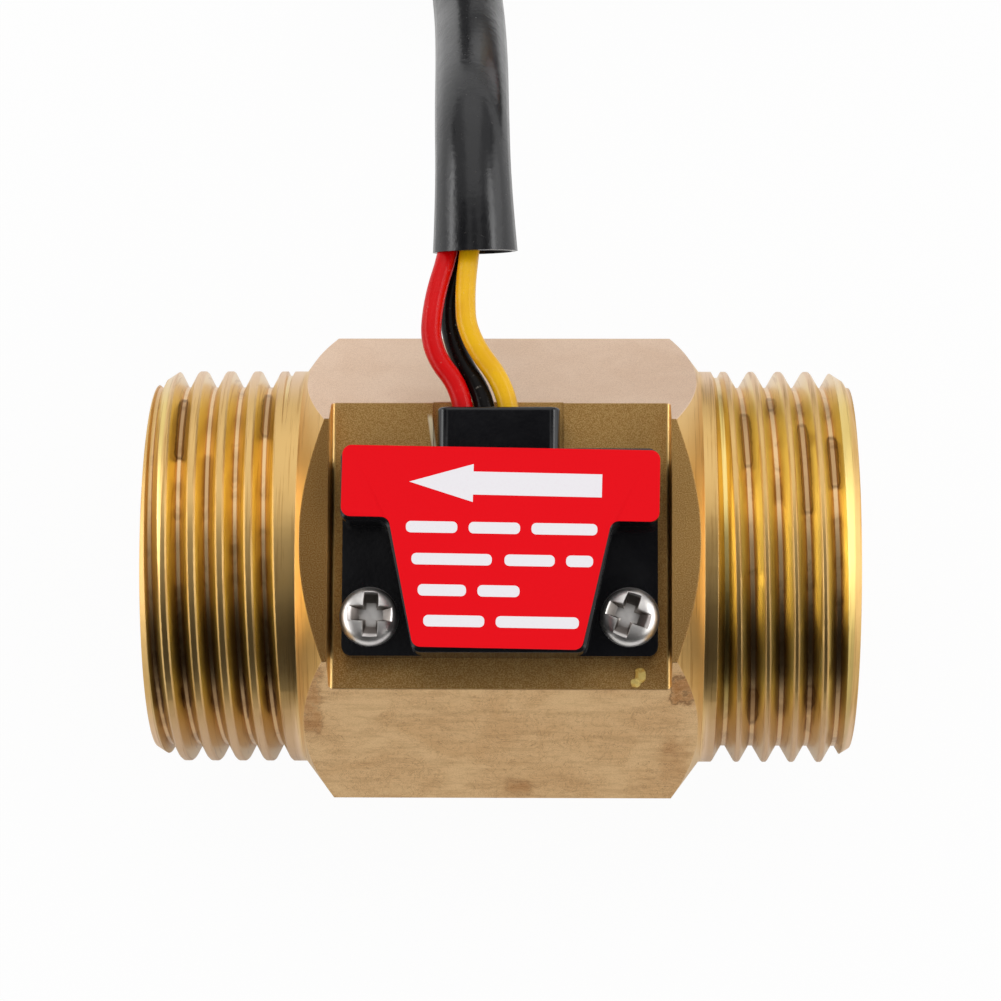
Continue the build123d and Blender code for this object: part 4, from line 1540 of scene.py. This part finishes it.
@dataclass
class Studio:
    """Pale floor, white surroundings, soft lamps and the camera."""

    floor_size: float = 6.0
    camera_place: Point = (5.092, -37.029, 314.110)
    camera_look: Point = (-0.01780, 0.14209, -0.98969)
    camera_up: Point = (-0.00140, 0.98985, 0.14214)
    lens: float = 126.9
    floor_glow: float = 0.95
    floor_gloss: float = 0.66
    shade_gloss: float = 0.12
    room_light: float = 0.73
    room_gloss: float = 0.68
    side_gloss: float = 2.15
    room_dark: float = 0.02
    shadow_edge: Span = (-0.012, 0.02)
    front_slope: float = 0.45
    front_rise: Span = (-0.5, -0.05)
    front_side: Span = (0.28, 0.42)
    gap_side: Span = (0.045, 0.17)
    gap_end: Span = (0.17, 0.31)
    wall_from: Span = (0.7, 0.83)
    wall_rise: Span = (-0.7, -0.25)
    wall_fade: Span = (0.4, 0.8)
    wall_foot: Span = (0.955, 0.99)
    lamps: tuple[Lamp, ...] = (
        Lamp("lamp_behind", 53.0, 0.0, 1.3, 0.86, 0.5),
        Lamp("lamp_left", 0.0, -66.0, 0.15, 0.9, 2.5),
        Lamp("lamp_right", 0.0, 50.0, 0.16, 0.9, 3.3),
    )

    def build_floor(self) -> None:
        """Makes the floor, which shows white and keeps part of the object's shadow."""
        floor = Bench.add(bpy.ops.mesh.primitive_plane_add, "floor", (0, 0, 0), size=self.floor_size)
        material = bpy.data.materials.new("pale_floor")
        material.use_nodes = True
        tree = Tree(material.node_tree)
        along = tree.axes(tree.node("ShaderNodeTexCoord").outputs["Object"])[1]
        seen, mirrored = tree.rays()
        gloss = along.step(*self.shadow_edge) * (self.floor_gloss - self.shade_gloss) + self.shade_gloss
        share = (seen * self.floor_glow).larger(mirrored * gloss)
        matt = tree.node("ShaderNodeBsdfDiffuse", {}, {"Color": (0.86, 0.86, 0.86, 1)})
        glow = tree.node("ShaderNodeEmission", {}, {"Strength": 1.0})
        both = tree.node("ShaderNodeMixShader", {}, {0: share, 1: matt.outputs[0], 2: glow.outputs[0]})
        tree.node("ShaderNodeOutputMaterial", {}, {0: both.outputs[0]})
        put_on(floor, material)

    def build_world(self) -> None:
        """Makes the surroundings: white to the camera, a dim room to glossy surfaces, soft light else."""
        world = bpy.data.worlds.new("studio_room")
        bpy.context.scene.world = world
        world.use_nodes = True
        tree = Tree(world.node_tree)
        across, along, _ = tree.axes(tree.node("ShaderNodeTexCoord").outputs["Generated"])
        seen, mirrored = tree.rays()
        aside = abs(across)
        front = (along + aside * self.front_slope).step(*self.front_rise) * (1 - aside.step(*self.front_side))
        gap = aside.step(*self.gap_side).larger(along.step(*self.gap_end))
        gloss = front * gap * (self.room_gloss - self.room_dark) + self.room_dark
        wall = aside.step(*self.wall_from) * along.step(*self.wall_rise)
        wall = wall * (1 - along.step(*self.wall_fade) * 0.4) * (1 - aside.step(*self.wall_foot) * 0.6)
        gloss = gloss.larger(wall * self.side_gloss)
        level = self.room_light * (1 - mirrored) + gloss * mirrored
        level = level.larger(seen)
        sky = tree.node("ShaderNodeBackground", {}, {"Strength": level})
        tree.node("ShaderNodeOutputWorld", {}, {0: sky.outputs[0]})

    def build_camera(self) -> None:
        """Sets up the photograph's camera."""
        data = bpy.data.cameras.new("camera")
        data.lens = self.lens
        data.sensor_width = 36.0
        data.clip_start = 0.01
        data.clip_end = 20.0
        camera = bpy.data.objects.new("camera", data)
        bpy.context.scene.collection.objects.link(camera)
        look, up = Vector(self.camera_look).normalized(), Vector(self.camera_up).normalized()
        right = look.cross(up).normalized()
        up = right.cross(look)
        camera.matrix_world = Matrix.Translation(metres(self.camera_place)) @ Matrix(
            (right, up, -look)
        ).transposed().to_4x4()
        bpy.context.scene.camera = camera

    def build(self) -> None:
        """Sets up the whole studio."""
        bpy.context.scene.view_settings.view_transform = "Standard"
        self.build_camera()
        self.build_floor()
        self.build_world()
        for lamp in self.lamps:
            lamp.build()
        LOG.info("studio ready")


def main() -> None:
    """Builds the whole sensor."""
    logging.basicConfig(level=logging.INFO, format="%(name)s: %(message)s")
    finishes = Finishes()
    Studio().build()
    Cable(finishes).build()
    BrassBody(finishes).build()
    Sensor(finishes).build()
    Turbine(finishes).build()


if __name__ == "__main__":
    main()
